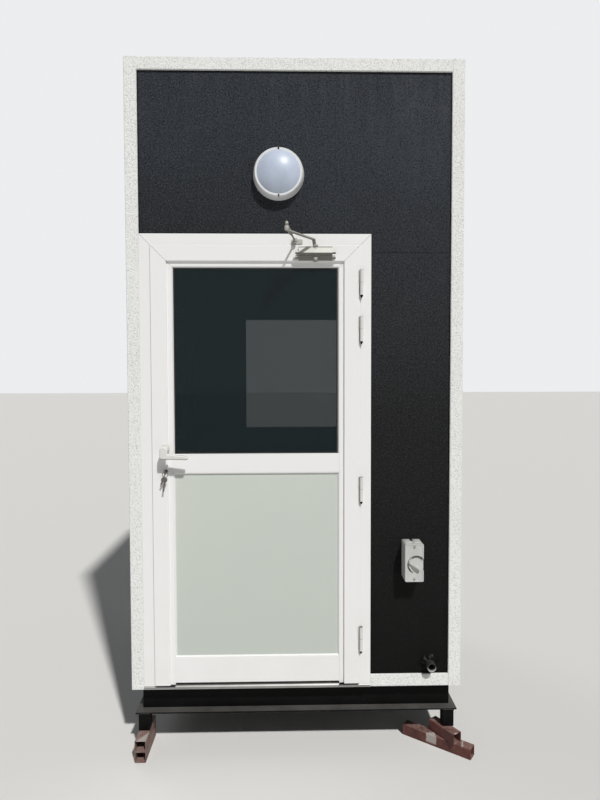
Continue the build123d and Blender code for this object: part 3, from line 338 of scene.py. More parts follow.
def board_paint():
    """Black stipple coating, dusty towards the top; its bluish tone up high is painted reflection, and
    its lighter crests and black pits are painted highlight and painted shade.
    """
    crest_grey = (0.092, 0.097, 0.106)
    pit_black = (0.003, 0.003, 0.0033)
    paint = Paint("board_paint", specular=0.1)
    height = paint.band(paint.axis("Z"), CABIN_BASE, CABIN_TOP)
    tone = board_dust(paint, board_tone_and_painted_light(paint, height))
    lumps = paint.noise(145, detail=4, rough=0.75)
    stipple = paint.noise(300, detail=2, rough=0.6)
    # Painted highlight on the stipple's crests, stronger higher up, and painted shade in its pits.
    crests = paint.times(paint.band(lumps, 0.5, 0.66), height)
    pits = paint.band(lumps, 0.46, 0.36)
    tone = paint.cover(tone, crest_grey, crests, share=0.7)
    paint.set("Base Color", paint.cover(tone, pit_black, pits, share=0.85))
    paint.set("Roughness", paint.band(stipple, 0.3, 0.7, 0.42, 0.65))
    paint.bump((lumps, 0.0065), (stipple, 0.0035))
    return paint.material


def door_paint():
    """Smooth white profiles, with a little dust near the foot."""
    white = (0.83, 0.83, 0.83)
    dust_grey = (0.72, 0.70, 0.66)
    paint = Paint("door_paint")
    cloud = paint.noise(4, detail=4, rough=0.6)
    low = paint.band(paint.axis("Z"), CABIN_BASE + 0.5, CABIN_BASE, 0, 0.35)
    dust = paint.band(cloud, 0.4, 0.7)
    paint.set("Base Color", paint.cover(white, dust_grey, dust, share=low))
    paint.set("Roughness", paint.band(cloud, 0.3, 0.7, 0.3, 0.42))
    paint.bump((paint.noise(700, detail=1, rough=0.5), 0.00004))
    return paint.material


def lower_panel_paint():
    """Pale grey-green infill panel, a little deeper in tone towards its foot."""
    green = (0.56, 0.60, 0.555)
    pale_green = (0.585, 0.615, 0.57)
    foot_green = (0.50, 0.545, 0.50)
    paint = Paint("lower_panel_paint")
    cloud = paint.noise(2.5, detail=4, rough=0.6)
    low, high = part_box("door_lower_panel")
    shade = paint.band(paint.axis("Z"), high.z, low.z, 0, 0.8)
    tone = paint.mix(paint.band(cloud, 0.35, 0.65), green, pale_green)
    paint.set("Base Color", paint.mix(shade, tone, foot_green))
    paint.set("Roughness", 0.45)
    paint.bump((paint.noise(500, detail=1, rough=0.5), 0.00005))
    return paint.material


def tinted_glass(name, colour, cover):
    """Grey-green tinted glass: cover is the share of the light that it holds back."""
    paint = Paint(name, specular=0.32)
    smear = paint.noise(5, detail=5, rough=0.6)
    paint.set("Base Color", colour)
    paint.set("Roughness", paint.band(smear, 0.4, 0.8, 0.02, 0.09))
    paint.set("Alpha", cover)
    return paint.material


def window_frame_paint():
    """Black powder coat."""
    paint = Paint("window_frame_paint", specular=0.2)
    paint.set("Base Color", (0.012, 0.012, 0.0125))
    paint.set("Roughness", 0.42)
    paint.bump((paint.noise(900, detail=1, rough=0.5), 0.00008))
    return paint.material


def floor_vinyl():
    """Grey sheet flooring with fine flecks."""
    grey = (0.22, 0.22, 0.215)
    fleck_grey = (0.29, 0.29, 0.28)
    paint = Paint("floor_vinyl")
    flecks = paint.band(paint.noise(260, detail=2, rough=0.7), 0.4, 0.6)
    paint.set("Base Color", paint.mix(flecks, grey, fleck_grey))
    paint.set("Roughness", 0.5)
    return paint.material


def skid_paint():
    """Black enamel on the skid, dusty where it faces up, with small rusty chips."""
    black = (0.0025, 0.0025, 0.0025)
    worn_black = (0.006, 0.006, 0.006)
    dust_grey = (0.17, 0.165, 0.155)
    rust = (0.16, 0.07, 0.045)
    paint = Paint("skid_paint", specular=0.08)
    cloud = paint.noise(6, detail=5, rough=0.65)
    up = paint.band(paint.upward(), 0.5, 0.95)
    dust = paint.band(cloud, 0.25, 0.7, 0.25, 0.6)
    chips = paint.band(paint.cells(38), 0.06, 0.03)
    tone = paint.mix(paint.band(cloud, 0.3, 0.7), black, worn_black)
    tone = paint.cover(tone, dust_grey, up, share=dust)
    paint.set("Base Color", paint.cover(tone, rust, chips, share=0.5))
    paint.set("Roughness", paint.band(cloud, 0.3, 0.7, 0.4, 0.65))
    paint.bump((paint.noise(45, detail=3, rough=0.6), 0.0008))
    return paint.material


def old_paint_marks(paint, tone):
    """Worn marks of old white paint, each on one layer of the packer tubes."""
    old_white = (0.47, 0.44, 0.41)
    fade = 0.004
    edge = 0.001
    for lowest, outline in OLD_PAINT_MARKS:
        corners = [(MIDDLE_X + x, FRONT_Y + y) for x, y in outline]
        top = PACKER_SIZE * math.ceil(lowest / PACKER_SIZE) + edge
        above = paint.band(paint.axis("Z"), lowest - fade, lowest + fade)
        below = paint.band(paint.axis("Z"), top, top + edge, 1, 0)
        patch_mask = paint.times(paint.times(above, below), paint.inside(corners))
        tone = paint.cover(tone, old_white, patch_mask, share=0.8)
    return tone


def primer_paint():
    """Red oxide primer on the packer tubes, stained, dusty and marked with old white paint."""
    oxide = (0.085, 0.027, 0.022)
    pale_oxide = (0.17, 0.064, 0.053)
    stain_brown = (0.04, 0.022, 0.02)
    dust_pink = (0.36, 0.25, 0.22)
    film_pink = (0.25, 0.175, 0.155)
    paint = Paint("primer_paint", specular=0.25)
    cloud = paint.noise(30, detail=5, rough=0.7)
    stains = paint.band(paint.noise(11, detail=4, rough=0.65), 0.45, 0.65, 0, 0.6)
    up = paint.band(paint.upward(), 0.5, 0.95)
    specks = paint.band(paint.noise(55, detail=5, rough=0.7), 0.35, 0.65)
    left_side = paint.band(paint.axis("X"), MIDDLE_X - 0.4, MIDDLE_X - 0.41)
    film = paint.band(cloud, 0.35, 0.6, 0.25, 0.85)
    tone = paint.mix(paint.band(cloud, 0.3, 0.7), oxide, pale_oxide)
    tone = paint.mix(stains, tone, stain_brown)
    tone = paint.cover(tone, dust_pink, paint.times(up, specks), share=0.6)
    tone = paint.cover(tone, film_pink, left_side, share=film)
    paint.set("Base Color", old_paint_marks(paint, tone))
    paint.set("Roughness", 0.6)
    paint.bump((paint.noise(160, detail=4, rough=0.6), 0.0006))
    return paint.material


def plain_paint(name, colour, roughness, metallic=0.0, specular=0.5, grain=600, depth=0.00006):
    """A moulded or painted surface with a fine grain and a slightly uneven tone."""
    darker = tuple(0.88 * part for part in colour)
    duller = min(1, 1.15 * roughness)
    paint = Paint(name, metallic, specular)
    cloud = paint.noise(18, detail=4, rough=0.6)
    paint.set("Base Color", paint.mix(paint.band(cloud, 0.35, 0.7), colour, darker))
    paint.set("Roughness", paint.band(cloud, 0.3, 0.7, 0.9 * roughness, duller))
    paint.bump((paint.noise(grain, detail=2, rough=0.5), depth))
    return paint.material


def aluminium():
    """Mill-finish aluminium, brushed along the doorway and grimy in places."""
    grey = (0.27, 0.27, 0.265)
    bright_grey = (0.37, 0.37, 0.36)
    grime_grey = (0.2, 0.195, 0.18)
    paint = Paint("aluminium", metallic=0.7)
    brushed = paint.noise(240, detail=3, rough=0.6, stretch=(0.03, 1, 1))
    grime = paint.band(paint.noise(12, detail=5, rough=0.6), 0.45, 0.75, 0, 0.5)
    paint.set("Base Color", paint.mix(grime, paint.mix(brushed, grey, bright_grey), grime_grey))
    paint.set("Roughness", 0.45)
    paint.bump((brushed, 0.00015))
    return paint.material


def hardware_paint():
    """Glossy white enamel on hinges and handles, greyed by hands, with painted shade on what faces
    down.
    """
    white = (0.77, 0.77, 0.74)
    worn_white = (0.69, 0.69, 0.66)
    painted_shade_grey = (0.40, 0.40, 0.38)
    paint = Paint("hardware_paint")
    cloud = paint.noise(18, detail=4, rough=0.6)
    # Grey on what faces down: painted shade.
    under = paint.band(paint.upward(), 0.1, -0.5)
    tone = paint.mix(paint.band(cloud, 0.35, 0.7), white, worn_white)
    paint.set("Base Color", paint.mix(under, tone, painted_shade_grey))
    paint.set("Roughness", paint.band(cloud, 0.3, 0.7, 0.2, 0.3))
    paint.bump((paint.noise(600, detail=2, rough=0.5), 0.00005))
    return paint.material


def closer_paint():
    """Warm silver paint, darker grey on what faces down and low on the body: painted shade over the
    bare darker casting.
    """
    silver = (0.50, 0.50, 0.455)
    worn_silver = (0.44, 0.44, 0.40)
    shade_and_casting_grey = (0.20, 0.20, 0.18)
    edge = 0.002
    paint = Paint("closer_paint", metallic=0.3)
    cloud = paint.noise(18, detail=4, rough=0.6)
    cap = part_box("closer_body")[0].z + CLOSER_CAP_DROP
    # Darker grey on what faces down and below the cap: painted shade, with the bare casting.
    facing_down = paint.band(paint.upward(), 0.05, -0.25)
    under_cap = paint.band(paint.axis("Z"), cap + edge, cap)
    under = paint.math("MAXIMUM", facing_down, under_cap)
    tone = paint.mix(paint.band(cloud, 0.35, 0.7), silver, worn_silver)
    paint.set("Base Color", paint.mix(under, tone, shade_and_casting_grey))
    paint.set("Roughness", paint.band(cloud, 0.3, 0.7, 0.38, 0.48))
    paint.bump((paint.noise(600, detail=2, rough=0.5), 0.00006))
    return paint.material


def pipe_plastic():
    """Dark pipe, with a pale lip at the bottom of its mouth: the bare grey pipe, made pale only there
    as painted light where the light falls in.
    """
    black = (0.015, 0.015, 0.0145)
    worn_black = (0.05, 0.05, 0.048)
    pale = (0.52, 0.52, 0.50)
    pale_grey = (0.36, 0.36, 0.345)
    paint = Paint("pipe_plastic", specular=0.25)
    low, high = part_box("cable_pipe")
    middle = (low.z + high.z) / 2
    # Pale only in the lower half at the mouth: painted light on the bare grey pipe.
    patch_mask = paint.band(paint.axis("Z"), middle + 0.004, middle - 0.012)
    mouth = paint.band(paint.axis("Y"), low.y + 0.012, low.y + 0.004)
    lip = paint.mix(paint.noise(80, detail=4, rough=0.6), pale, pale_grey)
    skin = paint.mix(paint.noise(60, detail=4, rough=0.6), black, worn_black)
    paint.set("Base Color", paint.cover(skin, lip, patch_mask, share=mouth))
    paint.set("Roughness", 0.55)
    paint.bump((paint.noise(200, detail=3, rough=0.5), 0.0003))
    return paint.material


def opal_plastic():
    """Opal plastic of the light's dome, smoother than the other plastics; its blue tint is painted
    reflection of the sky on a white opal.
    """
    return plain_paint("diffuser_plastic", (0.50, 0.565, 0.69), 0.36, grain=300, depth=0.00002)


# Finishes of the frame's nodes, by the record's slots
SLOT_PAINTS = {
    "white_rim_paint": rim_paint(),
    "black_board_coating": board_paint(),
    "window_frame_black": window_frame_paint(),
    "tinted_glass": tinted_glass("window_glass", (0.01, 0.03, 0.036), cover=0.42),
    "floor_vinyl": floor_vinyl(),
    "black_skid_paint": skid_paint(),
    "red_oxide_primer": primer_paint(),
    "white_door_profile": door_paint(),
    "white_hardware": hardware_paint(),
    "mill_aluminium": aluminium(),
    "closer_silver": closer_paint(),
    "grey_green_panel": lower_panel_paint(),
    "black_gasket": plain_paint("gasket_rubber", (0.012, 0.012, 0.012), 0.6),
    "light_white_plastic": plain_paint("light_plastic", (0.78, 0.79, 0.80), 0.3),
    "light_diffuser_opal": opal_plastic(),
    "isolator_grey_plastic": plain_paint("isolator_plastic", (0.56, 0.565, 0.55), 0.45),
    "pipe_grey_plastic": pipe_plastic(),
    "key_steel": plain_paint("key_steel_finish", (0.17, 0.155, 0.135), 0.35, metallic=0.8),
}
DOOR_GLASS = tinted_glass("door_glass_finish", (0.002, 0.012, 0.015), cover=0.6)

# Finishes of the added pieces
# Black rubber, also laid as black pieces that paint shade: in notches, under the leaf and the hinges,
# and in the boards' edge corners.
BLACK_RUBBER_AND_SHADE = plain_paint("black_rubber_and_shade", (0.006, 0.006, 0.006), 0.7, specular=0.1)
SEALANT = plain_paint(
    "black_sealant", (0.002, 0.002, 0.002), 0.4, specular=0.1, grain=300, depth=0.0004)
DARK_GREY = plain_paint("dark_grey_plastic_and_shade", (0.07, 0.07, 0.068), 0.5)
RECESS_SHADE_GREY = plain_paint("recess_shade_grey", (0.15, 0.15, 0.145), 0.6)
SCREW_GREY = plain_paint("screw_grey", (0.33, 0.33, 0.32), 0.5)
BRIGHT_STEEL = plain_paint("bright_steel", (0.75, 0.74, 0.70), 0.3, metallic=0.5)


def dress(node, material):
    """Gives a node of the frame one material."""
    slots = nodes[node].data.materials
    slots.clear()
    slots.append(material)


def dress_frame():
    """Each node of the frame in its slot's paint, and the door's pane in darker glass."""
    for part in frame["record"]["subparts"]:
        dress(part["node"], SLOT_PAINTS[part["material_slot"]])
    dress("door_glass", DOOR_GLASS)


def frame_joint(name):
    """A joint's place in the frame."""
    joints = frame["record"]["behaviour"]["joints"]
    return next(Vector(joint["pos_m"]) for joint in joints if joint["name"] == name)


def add_piece(name, shape, material, body="booth"):
    """A new piece from a bmesh in one material: it rides on a body."""
    bmesh.ops.recalc_face_normals(shape, faces=shape.faces)
    mesh = bpy.data.meshes.new(name)
    shape.to_mesh(mesh)
    shape.free()
    mesh.shade_smooth()
    mesh.set_sharp_from_angle(angle=SMOOTH_BELOW)
    mesh.materials.append(material)
    piece = bpy.data.objects.new(name, mesh)
    bpy.context.scene.collection.objects.link(piece)
    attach(piece, body)
    return piece


def turn_body(shape, outline, centre, towards, steps):
    """Adds a round body to a shape, from (radius, height) pairs along an axis."""
    turn = Vector(towards).to_track_quat("Z", "Y").to_matrix()
    rings = []
    for radius, height in outline:
        ring = []
        for step in range(steps if radius > 0 else 1):
            angle = math.tau * step / steps
            point = Vector((radius * math.cos(angle), radius * math.sin(angle), height))
            ring.append(shape.verts.new(Vector(centre) + turn @ point))
        rings.append(ring)
    for lower, upper in zip(rings, rings[1:]):
        for step in range(steps):
            after = step + 1
            corners = (lower[step % len(lower)], lower[after % len(lower)],
                       upper[after % len(upper)], upper[step % len(upper)])
            shape.faces.new(list(dict.fromkeys(corners)))


def add_block(shape, low, high, rounding):
    """Adds a box between two corners, with rounded edges."""
    corners = bmesh.ops.create_cube(shape, size=1)["verts"]
    size = [b - a for a, b in zip(low, high)]
    for corner in corners:
        shares = [0.5 + part for part in corner.co]
        corner.co = Vector([a + share * side for a, share, side in zip(low, shares, size)])
    edges = list(dict.fromkeys(edge for corner in corners for edge in corner.link_edges))
    bmesh.ops.bevel(shape, geom=edges, offset=rounding, segments=2, profile=0.5, affect="EDGES")


def add_ribbon(shape, points, face_y, width, proud):
    """Adds a flat ribbon along (x, z) points, standing proud of a face that looks to the front."""
    edges = []
    for index, (x, z) in enumerate(points):
        before = Vector(points[max(index - 1, 0)])
        after = Vector(points[min(index + 1, len(points) - 1)])
        along = (after - before).normalized()
        across = Vector((-along.y, along.x)) * width / 2
        edges.append([
            shape.verts.new((x + side * across.x, y, z + side * across.y))
            for side, y in ((1, face_y), (1, face_y - proud), (-1, face_y - proud), (-1, face_y))
        ])
    for first, second in zip(edges, edges[1:]):
        for corner in range(4):
            after = (corner + 1) % 4
            shape.faces.new((first[corner], first[after], second[after], second[corner]))
    shape.faces.new(edges[0])
    shape.faces.new(edges[-1][::-1])


def arc(centre, radius, start, end):
    """Points (x, z) on an arc, its angles in degrees turning upwards from the right."""
    points = []
    for step in range(ARC_STEPS + 1):
        angle = math.radians(start + (end - start) * step / ARC_STEPS)
        points.append((centre[0] + radius * math.cos(angle), centre[1] + radius * math.sin(angle)))
    return points


def screw(shape, centre, radius):
    """Adds a low round screw head with a sunk middle, facing the front."""
    outline = [(across * radius, out * radius) for across, out in SCREW_OUTLINE]
    turn_body(shape, outline, centre, FRONT, SCREW_STEPS)


def light_lines():
    """The middle of the light at its dome's back, the dome's radius, and the ring's face."""
    low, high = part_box("light_diffuser")
    centre = ((low.x + high.x) / 2, high.y, (low.z + high.z) / 2)
    return centre, (high.x - low.x) / 2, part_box("light_housing")[0].y


def light_dome():
    """The bulkhead light's smooth dome: a rim up to the ring's face, and a round cap on it."""
    centre, radius, seat = light_lines()
    rim = centre[1] - seat
    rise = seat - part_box("light_diffuser")[0].y
    half_angle = 2 * math.atan(rise / radius)
    ball = radius / math.sin(half_angle)
    outline = [(0, 0), (radius, 0), (radius, rim)]
    for step in range(1, DOME_STEPS_UP + 1):
        angle = half_angle * (1 - step / DOME_STEPS_UP)
        outline.append((ball * math.sin(angle), rim + rise - ball * (1 - math.cos(angle))))
    dome = bmesh.new()
    turn_body(dome, outline, centre, FRONT, DOME_STEPS_ROUND)
    paint = SLOT_PAINTS["light_diffuser_opal"]
    piece = add_piece("light_dome", dome, paint)
    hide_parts("light_diffuser")


def light_notch_shade_plugs():
    """Black plugs that paint the shade in the two notches of the light's ring, the larger one on top.
    """
    top_plug = (0.0037, 0.0045)
    foot_plug = (0.0026, 0.0026)
    proud = 0.0006
    depth = 0.010
    rounding = 0.0006
    centre, radius, seat = light_lines()
    reach = LIGHT_RING_WIDTH / 2 + radius
    plugs = bmesh.new()
    for side, (half_width, half_height) in ((1, top_plug), (-1, foot_plug)):
        z = centre[2] + side * reach
        add_block(plugs, (centre[0] - half_width, seat - proud, z - half_height),
                  (centre[0] + half_width, seat + depth, z + half_height), rounding)
    add_piece("light_notch_shade_plugs", plugs, BLACK_RUBBER_AND_SHADE)


def isolator_screws():
    """The two screws of the isolator's lid."""
    inset = 0.012
    radius = 0.0052
    low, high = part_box("isolator_box")
    middle = (low.x + high.x) / 2
    screws = bmesh.new()
    for z in (low.z + inset, high.z - inset):
        screw(screws, (middle, low.y, z), radius)
    add_piece("isolator_screws", screws, SCREW_GREY)


def isolator_top_lugs():
    """The two lugs on the isolator's top."""
    sunk = 0.002
    rounding = 0.0015
    low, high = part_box("isolator_box")
    middle = (low.x + high.x) / 2
    left_lug = (low.x + 0.006, middle - 0.009)
    right_lug = (middle + 0.004, high.x - 0.010)
    front = high.y - 0.062
    back = high.y - 0.008
    top = high.z + 0.003
    lugs = bmesh.new()
    for start, end in (left_lug, right_lug):
        add_block(lugs, (start, front, high.z - sunk), (end, back, top), rounding)
    paint = SLOT_PAINTS["isolator_grey_plastic"]
    add_piece("isolator_top_lugs", lugs, paint)


def isolator_top_notch_shade():
    """A black block that paints the shade in the notch between the lugs on the isolator's top."""
    sunk = 0.002
    rounding = 0.0004
    low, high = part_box("isolator_box")
    middle = (low.x + high.x) / 2
    notch_low = (middle - 0.0085, high.y - 0.030, high.z - sunk)
    notch_high = (middle + 0.0035, high.y - 0.004, high.z + 0.0012)
    notch = bmesh.new()
    add_block(notch, notch_low, notch_high, rounding)
    add_piece("isolator_top_notch_shade", notch, BLACK_RUBBER_AND_SHADE)


def isolator_knob_shade_bands():
    """Grey bands on the floor of the isolator knob's recess, which paint the shade round the knob."""
    wide = (0.0353, 0.0105)
    narrow = (0.0385, 0.0040)
    proud = 0.0012
    low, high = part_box("isolator_box")
    middle_x = (low.x + high.x) / 2
    middle_z = (low.z + high.z) / 2
    centre = (DIAL_FROM_MIDDLE[0] + middle_x, DIAL_FROM_MIDDLE[1] + middle_z)
    floor = low.y + DIAL_RECESS
    shade_bands = bmesh.new()
    # Painted shade round the knob.
    for (radius, width), start, end in ((wide, 42, 122), (narrow, 122, 190), (wide, 190, 238)):
        add_ribbon(shade_bands, arc(centre, radius, start, end), floor, width, proud)
    add_piece("isolator_knob_shade_bands", shade_bands, RECESS_SHADE_GREY)


def pipe_sealant():
    """Black sealant pressed by hand round the cable pipe at the board."""
    lumps_to_metre = 70
    spread = 0.012
    rise = 0.006
    low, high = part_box("cable_pipe")
    centre = Vector(((low.x + high.x) / 2, high.y, (low.z + high.z) / 2))
    radius = (high.x - low.x) / 2
    outline = [(radius + out, up) for out, up in SEALANT_OUTLINE]
    bead = bmesh.new()
    turn_body(bead, outline, centre, FRONT, SEALANT_STEPS)
    for point in bead.verts:
        away = Vector((point.co.x - centre.x, 0, point.co.z - centre.z))
        lump = noise.noise(lumps_to_metre * point.co)
        if away.length > radius:
            point.co += away.normalized() * spread * lump
            point.co.y = min(point.co.y - rise * lump, high.y)
    add_piece("pipe_sealant", bead, SEALANT)


def mitre_joints():
    """Fine dark lines where the profiles of the frame and of the leaf meet at 45 degrees."""
    inset = 0.002
    width = 0.0009
    proud = 0.00015
    for name, node, face, body in (
        ("frame_mitre_lines", "door_frame_head", FRAME_FACE, "booth"),
        ("leaf_mitre_lines", "leaf_top_rail", LEAF_FACE, "door"),
    ):
        low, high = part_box(node)
        lines = bmesh.new()
        for corner_x, inward in ((low.x, 1), (high.x, -1)):
            outer = (corner_x + inward * inset, high.z - inset)
            inner = (corner_x + inward * face, high.z - face)
            add_ribbon(lines, (outer, inner), low.y, width, proud)
        add_piece(name, lines, DARK_GREY, body)


def door_sweep_and_shadow_line():
    """Black rubber under the leaf: a sweep over the threshold and strips under the stiles, black to
    paint the leaf's shadow line on the threshold.
    """
    inset = 0.004
    rounding = 0.0004
    foot_strip_front = 0.004
    foot_strip_back = 0.007
    running_gap = 0.0008
    foot_strip_root = 0.002
    stile_strip_inset = 0.003
    stile_strip_proud = 0.0004
    stile_strip_back = 0.0042
    stile_strip_drop = 0.0036
    stile_strip_root = 0.0004
    stile_strip_rounding = 0.0003
    low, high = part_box("leaf_stiles")
    rail_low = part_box("leaf_bottom_rail")[0]
    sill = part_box("threshold")[1].z
    foot_strips = bmesh.new()
    add_block(foot_strips, (low.x + inset, rail_low.y + foot_strip_front, sill + running_gap),
              (high.x - inset, rail_low.y + foot_strip_back, rail_low.z + foot_strip_root), rounding)
    left_stile = (low.x + stile_strip_inset, low.x + LEAF_FACE)
    right_stile = (high.x - LEAF_FACE, high.x - stile_strip_inset)
    for start, end in (left_stile, right_stile):
        add_block(foot_strips, (start, low.y - stile_strip_proud, low.z - stile_strip_drop),
                  (end, low.y + stile_strip_back, low.z + stile_strip_root), stile_strip_rounding)
    add_piece("door_sweep_and_shadow_line", foot_strips, BLACK_RUBBER_AND_SHADE, "door")


def board_edge_shadow_beads():
    """Black beads in the corner between the front boards and the white rim and door frame, painting the
    shade where these stand proud of the boards.
    """
    width = 0.004
    proud = 0.0012
    inset = width / 2
    upper_low, upper_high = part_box("front_board_upper")
    door_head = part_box("door_frame_head")[1]
    left = upper_low.x + inset
    right = upper_high.x - inset
    top = upper_high.z - inset
    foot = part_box("front_board_lower")[0].z + inset
    over_door = door_head.z + inset
    beside_door = door_head.x + inset
    corners = [(left, over_door), (left, top), (right, top), (right, foot), (beside_door, foot),
               (beside_door, over_door)]
    beads = bmesh.new()
    for side in sides(corners):
        add_ribbon(beads, side, upper_low.y, width, proud)
    add_piece("board_edge_shadow_beads", beads, BLACK_RUBBER_AND_SHADE)


def weld_leg(beads, x, y, z):
    """Adds the ripples of one weld round a square leg with its middle at x, y."""
    ripple_radius = 0.0045
    reach = LEG_SIZE / 2
    corners = [(x + a * reach, y + b * reach) for a, b in ((-1, -1), (1, -1), (1, 1), (-1, 1))]
    for (start_x, start_y), (end_x, end_y) in sides(corners):
        for step in range(WELD_RIPPLES):
            share = (step + 0.5) / WELD_RIPPLES
            spot = Vector((start_x + (end_x - start_x) * share, start_y + (end_y - start_y) * share, z))
            ripple = bmesh.ops.create_icosphere(beads, subdivisions=1, radius=ripple_radius)["verts"]
            for point in ripple:
                point.co += spot


def weld_beads():
    """Weld beads round the tops of the leg stubs, under the skid."""
    sunk = 0.001
    low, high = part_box("leg_stubs")
    reach = LEG_SIZE / 2
    beads = bmesh.new()
    for x in (low.x + reach, high.x - reach):
        for y in (low.y + reach, high.y - reach):
            weld_leg(beads, x, y, high.z - sunk)
    add_piece("weld_beads", beads, SLOT_PAINTS["black_skid_paint"])


def hinge_middles():
    """The height of each hinge's middle."""
    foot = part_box("leaf_stiles")[0].z
    return [foot + height for height in HINGE_HEIGHTS]


def hinge_end_shadow_plugs():
    """Black cones under the lower ends of the hinges, painting the dark shadow below each hinge."""
    outline = ((0, 0), (0.92 * HINGE_RADIUS, 0), (0.8 * HINGE_RADIUS, 0.005),
               (0.2 * HINGE_RADIUS, 0.013), (0, 0.013))
    x, y = frame_joint("door_hinge")[:2]
    plugs = bmesh.new()
    for middle in hinge_middles():
        turn_body(plugs, outline, (x, y, middle - HINGE_LENGTH / 2), DOWN, HINGE_STEPS)
    add_piece("hinge_end_shadow_plugs", plugs, BLACK_RUBBER_AND_SHADE)


def hinge_washers_and_shadow_lines():
    """Dark washers halfway up the hinges and on top, with a dark strip beside each knuckle that paints
    the knuckle's shadow on the leaf.
    """
    outline = ((0, 0), (1.03 * HINGE_RADIUS, 0), (1.03 * HINGE_RADIUS, 0.0008), (0, 0.0008))
    rounding = 0.0003
    x, y = frame_joint("door_hinge")[:2]
    half = HINGE_LENGTH / 2
    plate_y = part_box("leaf_stiles")[0].y - HINGE_PLATE
    knuckle_shadow_left = x - HINGE_RADIUS - 0.0019
    knuckle_shadow_right = x - HINGE_RADIUS - 0.0004
    knuckle_shadow_front = plate_y - 0.0012
    knuckle_shadow_back = plate_y + 0.0004
    washers = bmesh.new()
    for middle in hinge_middles():
        turn_body(washers, outline, (x, y, middle), UP, HINGE_STEPS)
        turn_body(washers, outline, (x, y, middle + half), UP, HINGE_STEPS)
    # Painted shadow of each knuckle on the leaf.
    for middle in hinge_middles():
        knuckle_shadow_low = (knuckle_shadow_left, knuckle_shadow_front, middle - half)
        knuckle_shadow_high = (knuckle_shadow_right, knuckle_shadow_back, middle + half)
        add_block(washers, knuckle_shadow_low, knuckle_shadow_high, rounding)
    add_piece("hinge_washers_and_shadow_lines", washers, DARK_GREY, "door")


def shoe_pin_end():
    """Where the pin of the closer's shoe comes out under the forearm."""
    x, y = frame_joint("shoe_pivot")[:2]
    return Vector((x, y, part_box("closer_forearm")[0].z))


def shoe_pin_washer():
    """The dark washer under the forearm, on the shoe's pin."""
    outline = ((0, 0), (0.0070, 0), (0.0070, 0.0012), (0.0052, 0.0016), (0, 0.0016))
    washer = bmesh.new()
    turn_body(washer, outline, shoe_pin_end(), DOWN, PIN_STEPS)
    add_piece("shoe_pin_washer", washer, DARK_GREY, "forearm")


def shoe_pin_head():
    """The bright head of the shoe's pin, with a sunk middle."""
    outline = ((0, 0), (0.0040, 0), (0.0040, 0.0030), (0.0026, 0.0036), (0.0024, 0.0020), (0, 0.0020))
    drop = 0.0010
    head = bmesh.new()
    turn_body(head, outline, shoe_pin_end() + drop * Vector(DOWN), DOWN, PIN_STEPS)
    add_piece("shoe_pin_head", head, BRIGHT_STEEL, "forearm")


def place_camera():
    """The photograph's camera."""
    forward = Vector((
        math.sin(CAMERA_YAW) * math.cos(CAMERA_PITCH),
        math.cos(CAMERA_YAW) * math.cos(CAMERA_PITCH),
        math.sin(CAMERA_PITCH),
    ))
    level = Vector((math.cos(CAMERA_YAW), -math.sin(CAMERA_YAW), 0))
    down = forward.cross(level)
    right = math.cos(CAMERA_ROLL) * level + math.sin(CAMERA_ROLL) * down
    up = math.sin(CAMERA_ROLL) * level - math.cos(CAMERA_ROLL) * down
    data = bpy.data.cameras.new("camera")
    data.sensor_fit = "VERTICAL"
    data.sensor_height = SENSOR_HEIGHT
    data.lens = FOCAL_PIXELS / IMAGE_HEIGHT * SENSOR_HEIGHT
    camera = bpy.data.objects.new("camera", data)
    turn = Matrix((right, up, -forward)).transposed()
    spot = Vector((MIDDLE_X + CAMERA_FROM_MIDDLE, FRONT_Y - CAMERA_FROM_FRONT, CAMERA_HEIGHT))
    camera.matrix_world = Matrix.Translation(spot) @ turn.to_4x4()
    bpy.context.scene.collection.objects.link(camera)
    bpy.context.scene.camera = camera


def sun(name, towards, strength, softness, colour):
    """A far lamp, given by the direction to it and by its width in the sky in degrees."""
    data = bpy.data.lights.new(name, "SUN")
    data.energy = strength
    data.angle = math.radians(softness)
    data.color = colour
    lamp = bpy.data.objects.new(name, data)
    lamp.rotation_euler = Vector(towards).to_track_quat("Z", "Y").to_euler()
    bpy.context.scene.collection.objects.link(lamp)


def place_lights():
    """A key from the upper right, as the sun stood, and a softer one from behind."""
    sun("key", KEY_TOWARDS, KEY_STRENGTH, KEY_SOFTNESS, KEY_COLOUR)
    sun("back", BACK_TOWARDS, BACK_STRENGTH, BACK_SOFTNESS, BACK_COLOUR)


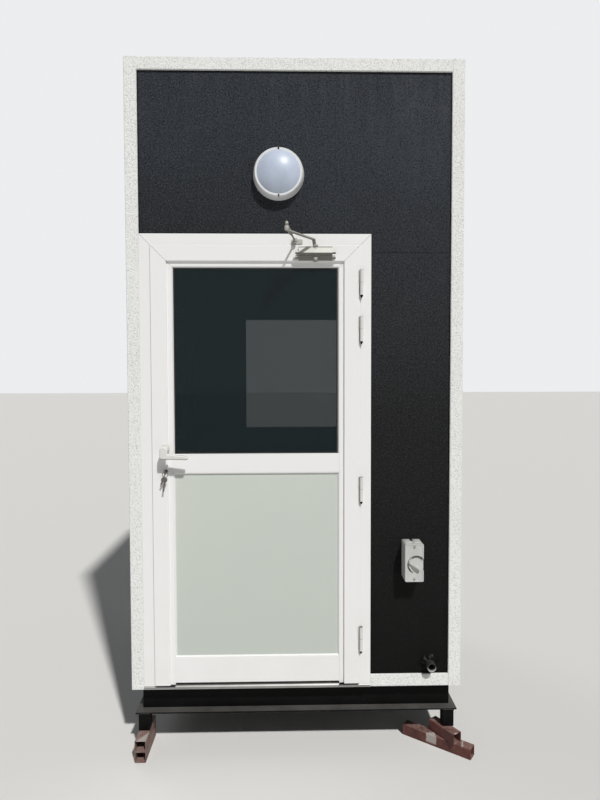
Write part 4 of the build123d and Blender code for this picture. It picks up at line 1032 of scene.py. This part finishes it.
def set_world():
    """An even, dim surround, which the camera, gloss and glass see as a pale backdrop."""
    world = bpy.data.worlds.new("studio")
    bpy.context.scene.world = world
    world.use_nodes = True
    tree = world.node_tree
    tree.nodes.clear()
    rays = tree.nodes.new("ShaderNodeLightPath")
    surround = tree.nodes.new("ShaderNodeBackground")
    surround.inputs["Color"].default_value = WORLD_COLOUR
    surround.inputs["Strength"].default_value = WORLD_LIGHT
    backdrop = tree.nodes.new("ShaderNodeBackground")
    backdrop.inputs["Color"].default_value = BACKDROP_COLOUR
    seen = rays.outputs["Is Camera Ray"]
    for name in ("Is Glossy Ray", "Is Transmission Ray"):
        both = tree.nodes.new("ShaderNodeMath")
        both.operation = "MAXIMUM"
        tree.links.new(seen, both.inputs[0])
        tree.links.new(rays.outputs[name], both.inputs[1])
        seen = both.outputs[0]
    mix = tree.nodes.new("ShaderNodeMixShader")
    tree.links.new(seen, mix.inputs[0])
    tree.links.new(surround.outputs[0], mix.inputs[1])
    tree.links.new(backdrop.outputs[0], mix.inputs[2])
    out = tree.nodes.new("ShaderNodeOutputWorld")
    tree.links.new(mix.outputs[0], out.inputs[0])


def lay_floor():
    """The pale studio floor."""
    reach = FLOOR_REACH
    mesh = bpy.data.meshes.new("floor")
    corners = [(-reach, -reach, 0), (reach, -reach, 0), (reach, reach, 0), (-reach, reach, 0)]
    mesh.from_pydata(corners, [], [(0, 1, 2, 3)])
    ground = bpy.data.objects.new("studio_floor", mesh)
    bpy.context.scene.collection.objects.link(ground)
    paint = Paint("studio_floor_paint", specular=0.1)
    paint.set("Base Color", FLOOR_COLOUR)
    paint.set("Roughness", 0.9)
    mesh.materials.append(paint.material)


dress_frame()
light_dome()
light_notch_shade_plugs()
isolator_screws()
isolator_top_lugs()
isolator_top_notch_shade()
isolator_knob_shade_bands()
pipe_sealant()
mitre_joints()
door_sweep_and_shadow_line()
board_edge_shadow_beads()
weld_beads()
hinge_end_shadow_plugs()
hinge_washers_and_shadow_lines()
shoe_pin_washer()
shoe_pin_head()

place_camera()
place_lights()
set_world()
lay_floor()
bpy.context.scene.view_settings.view_transform = "Standard"
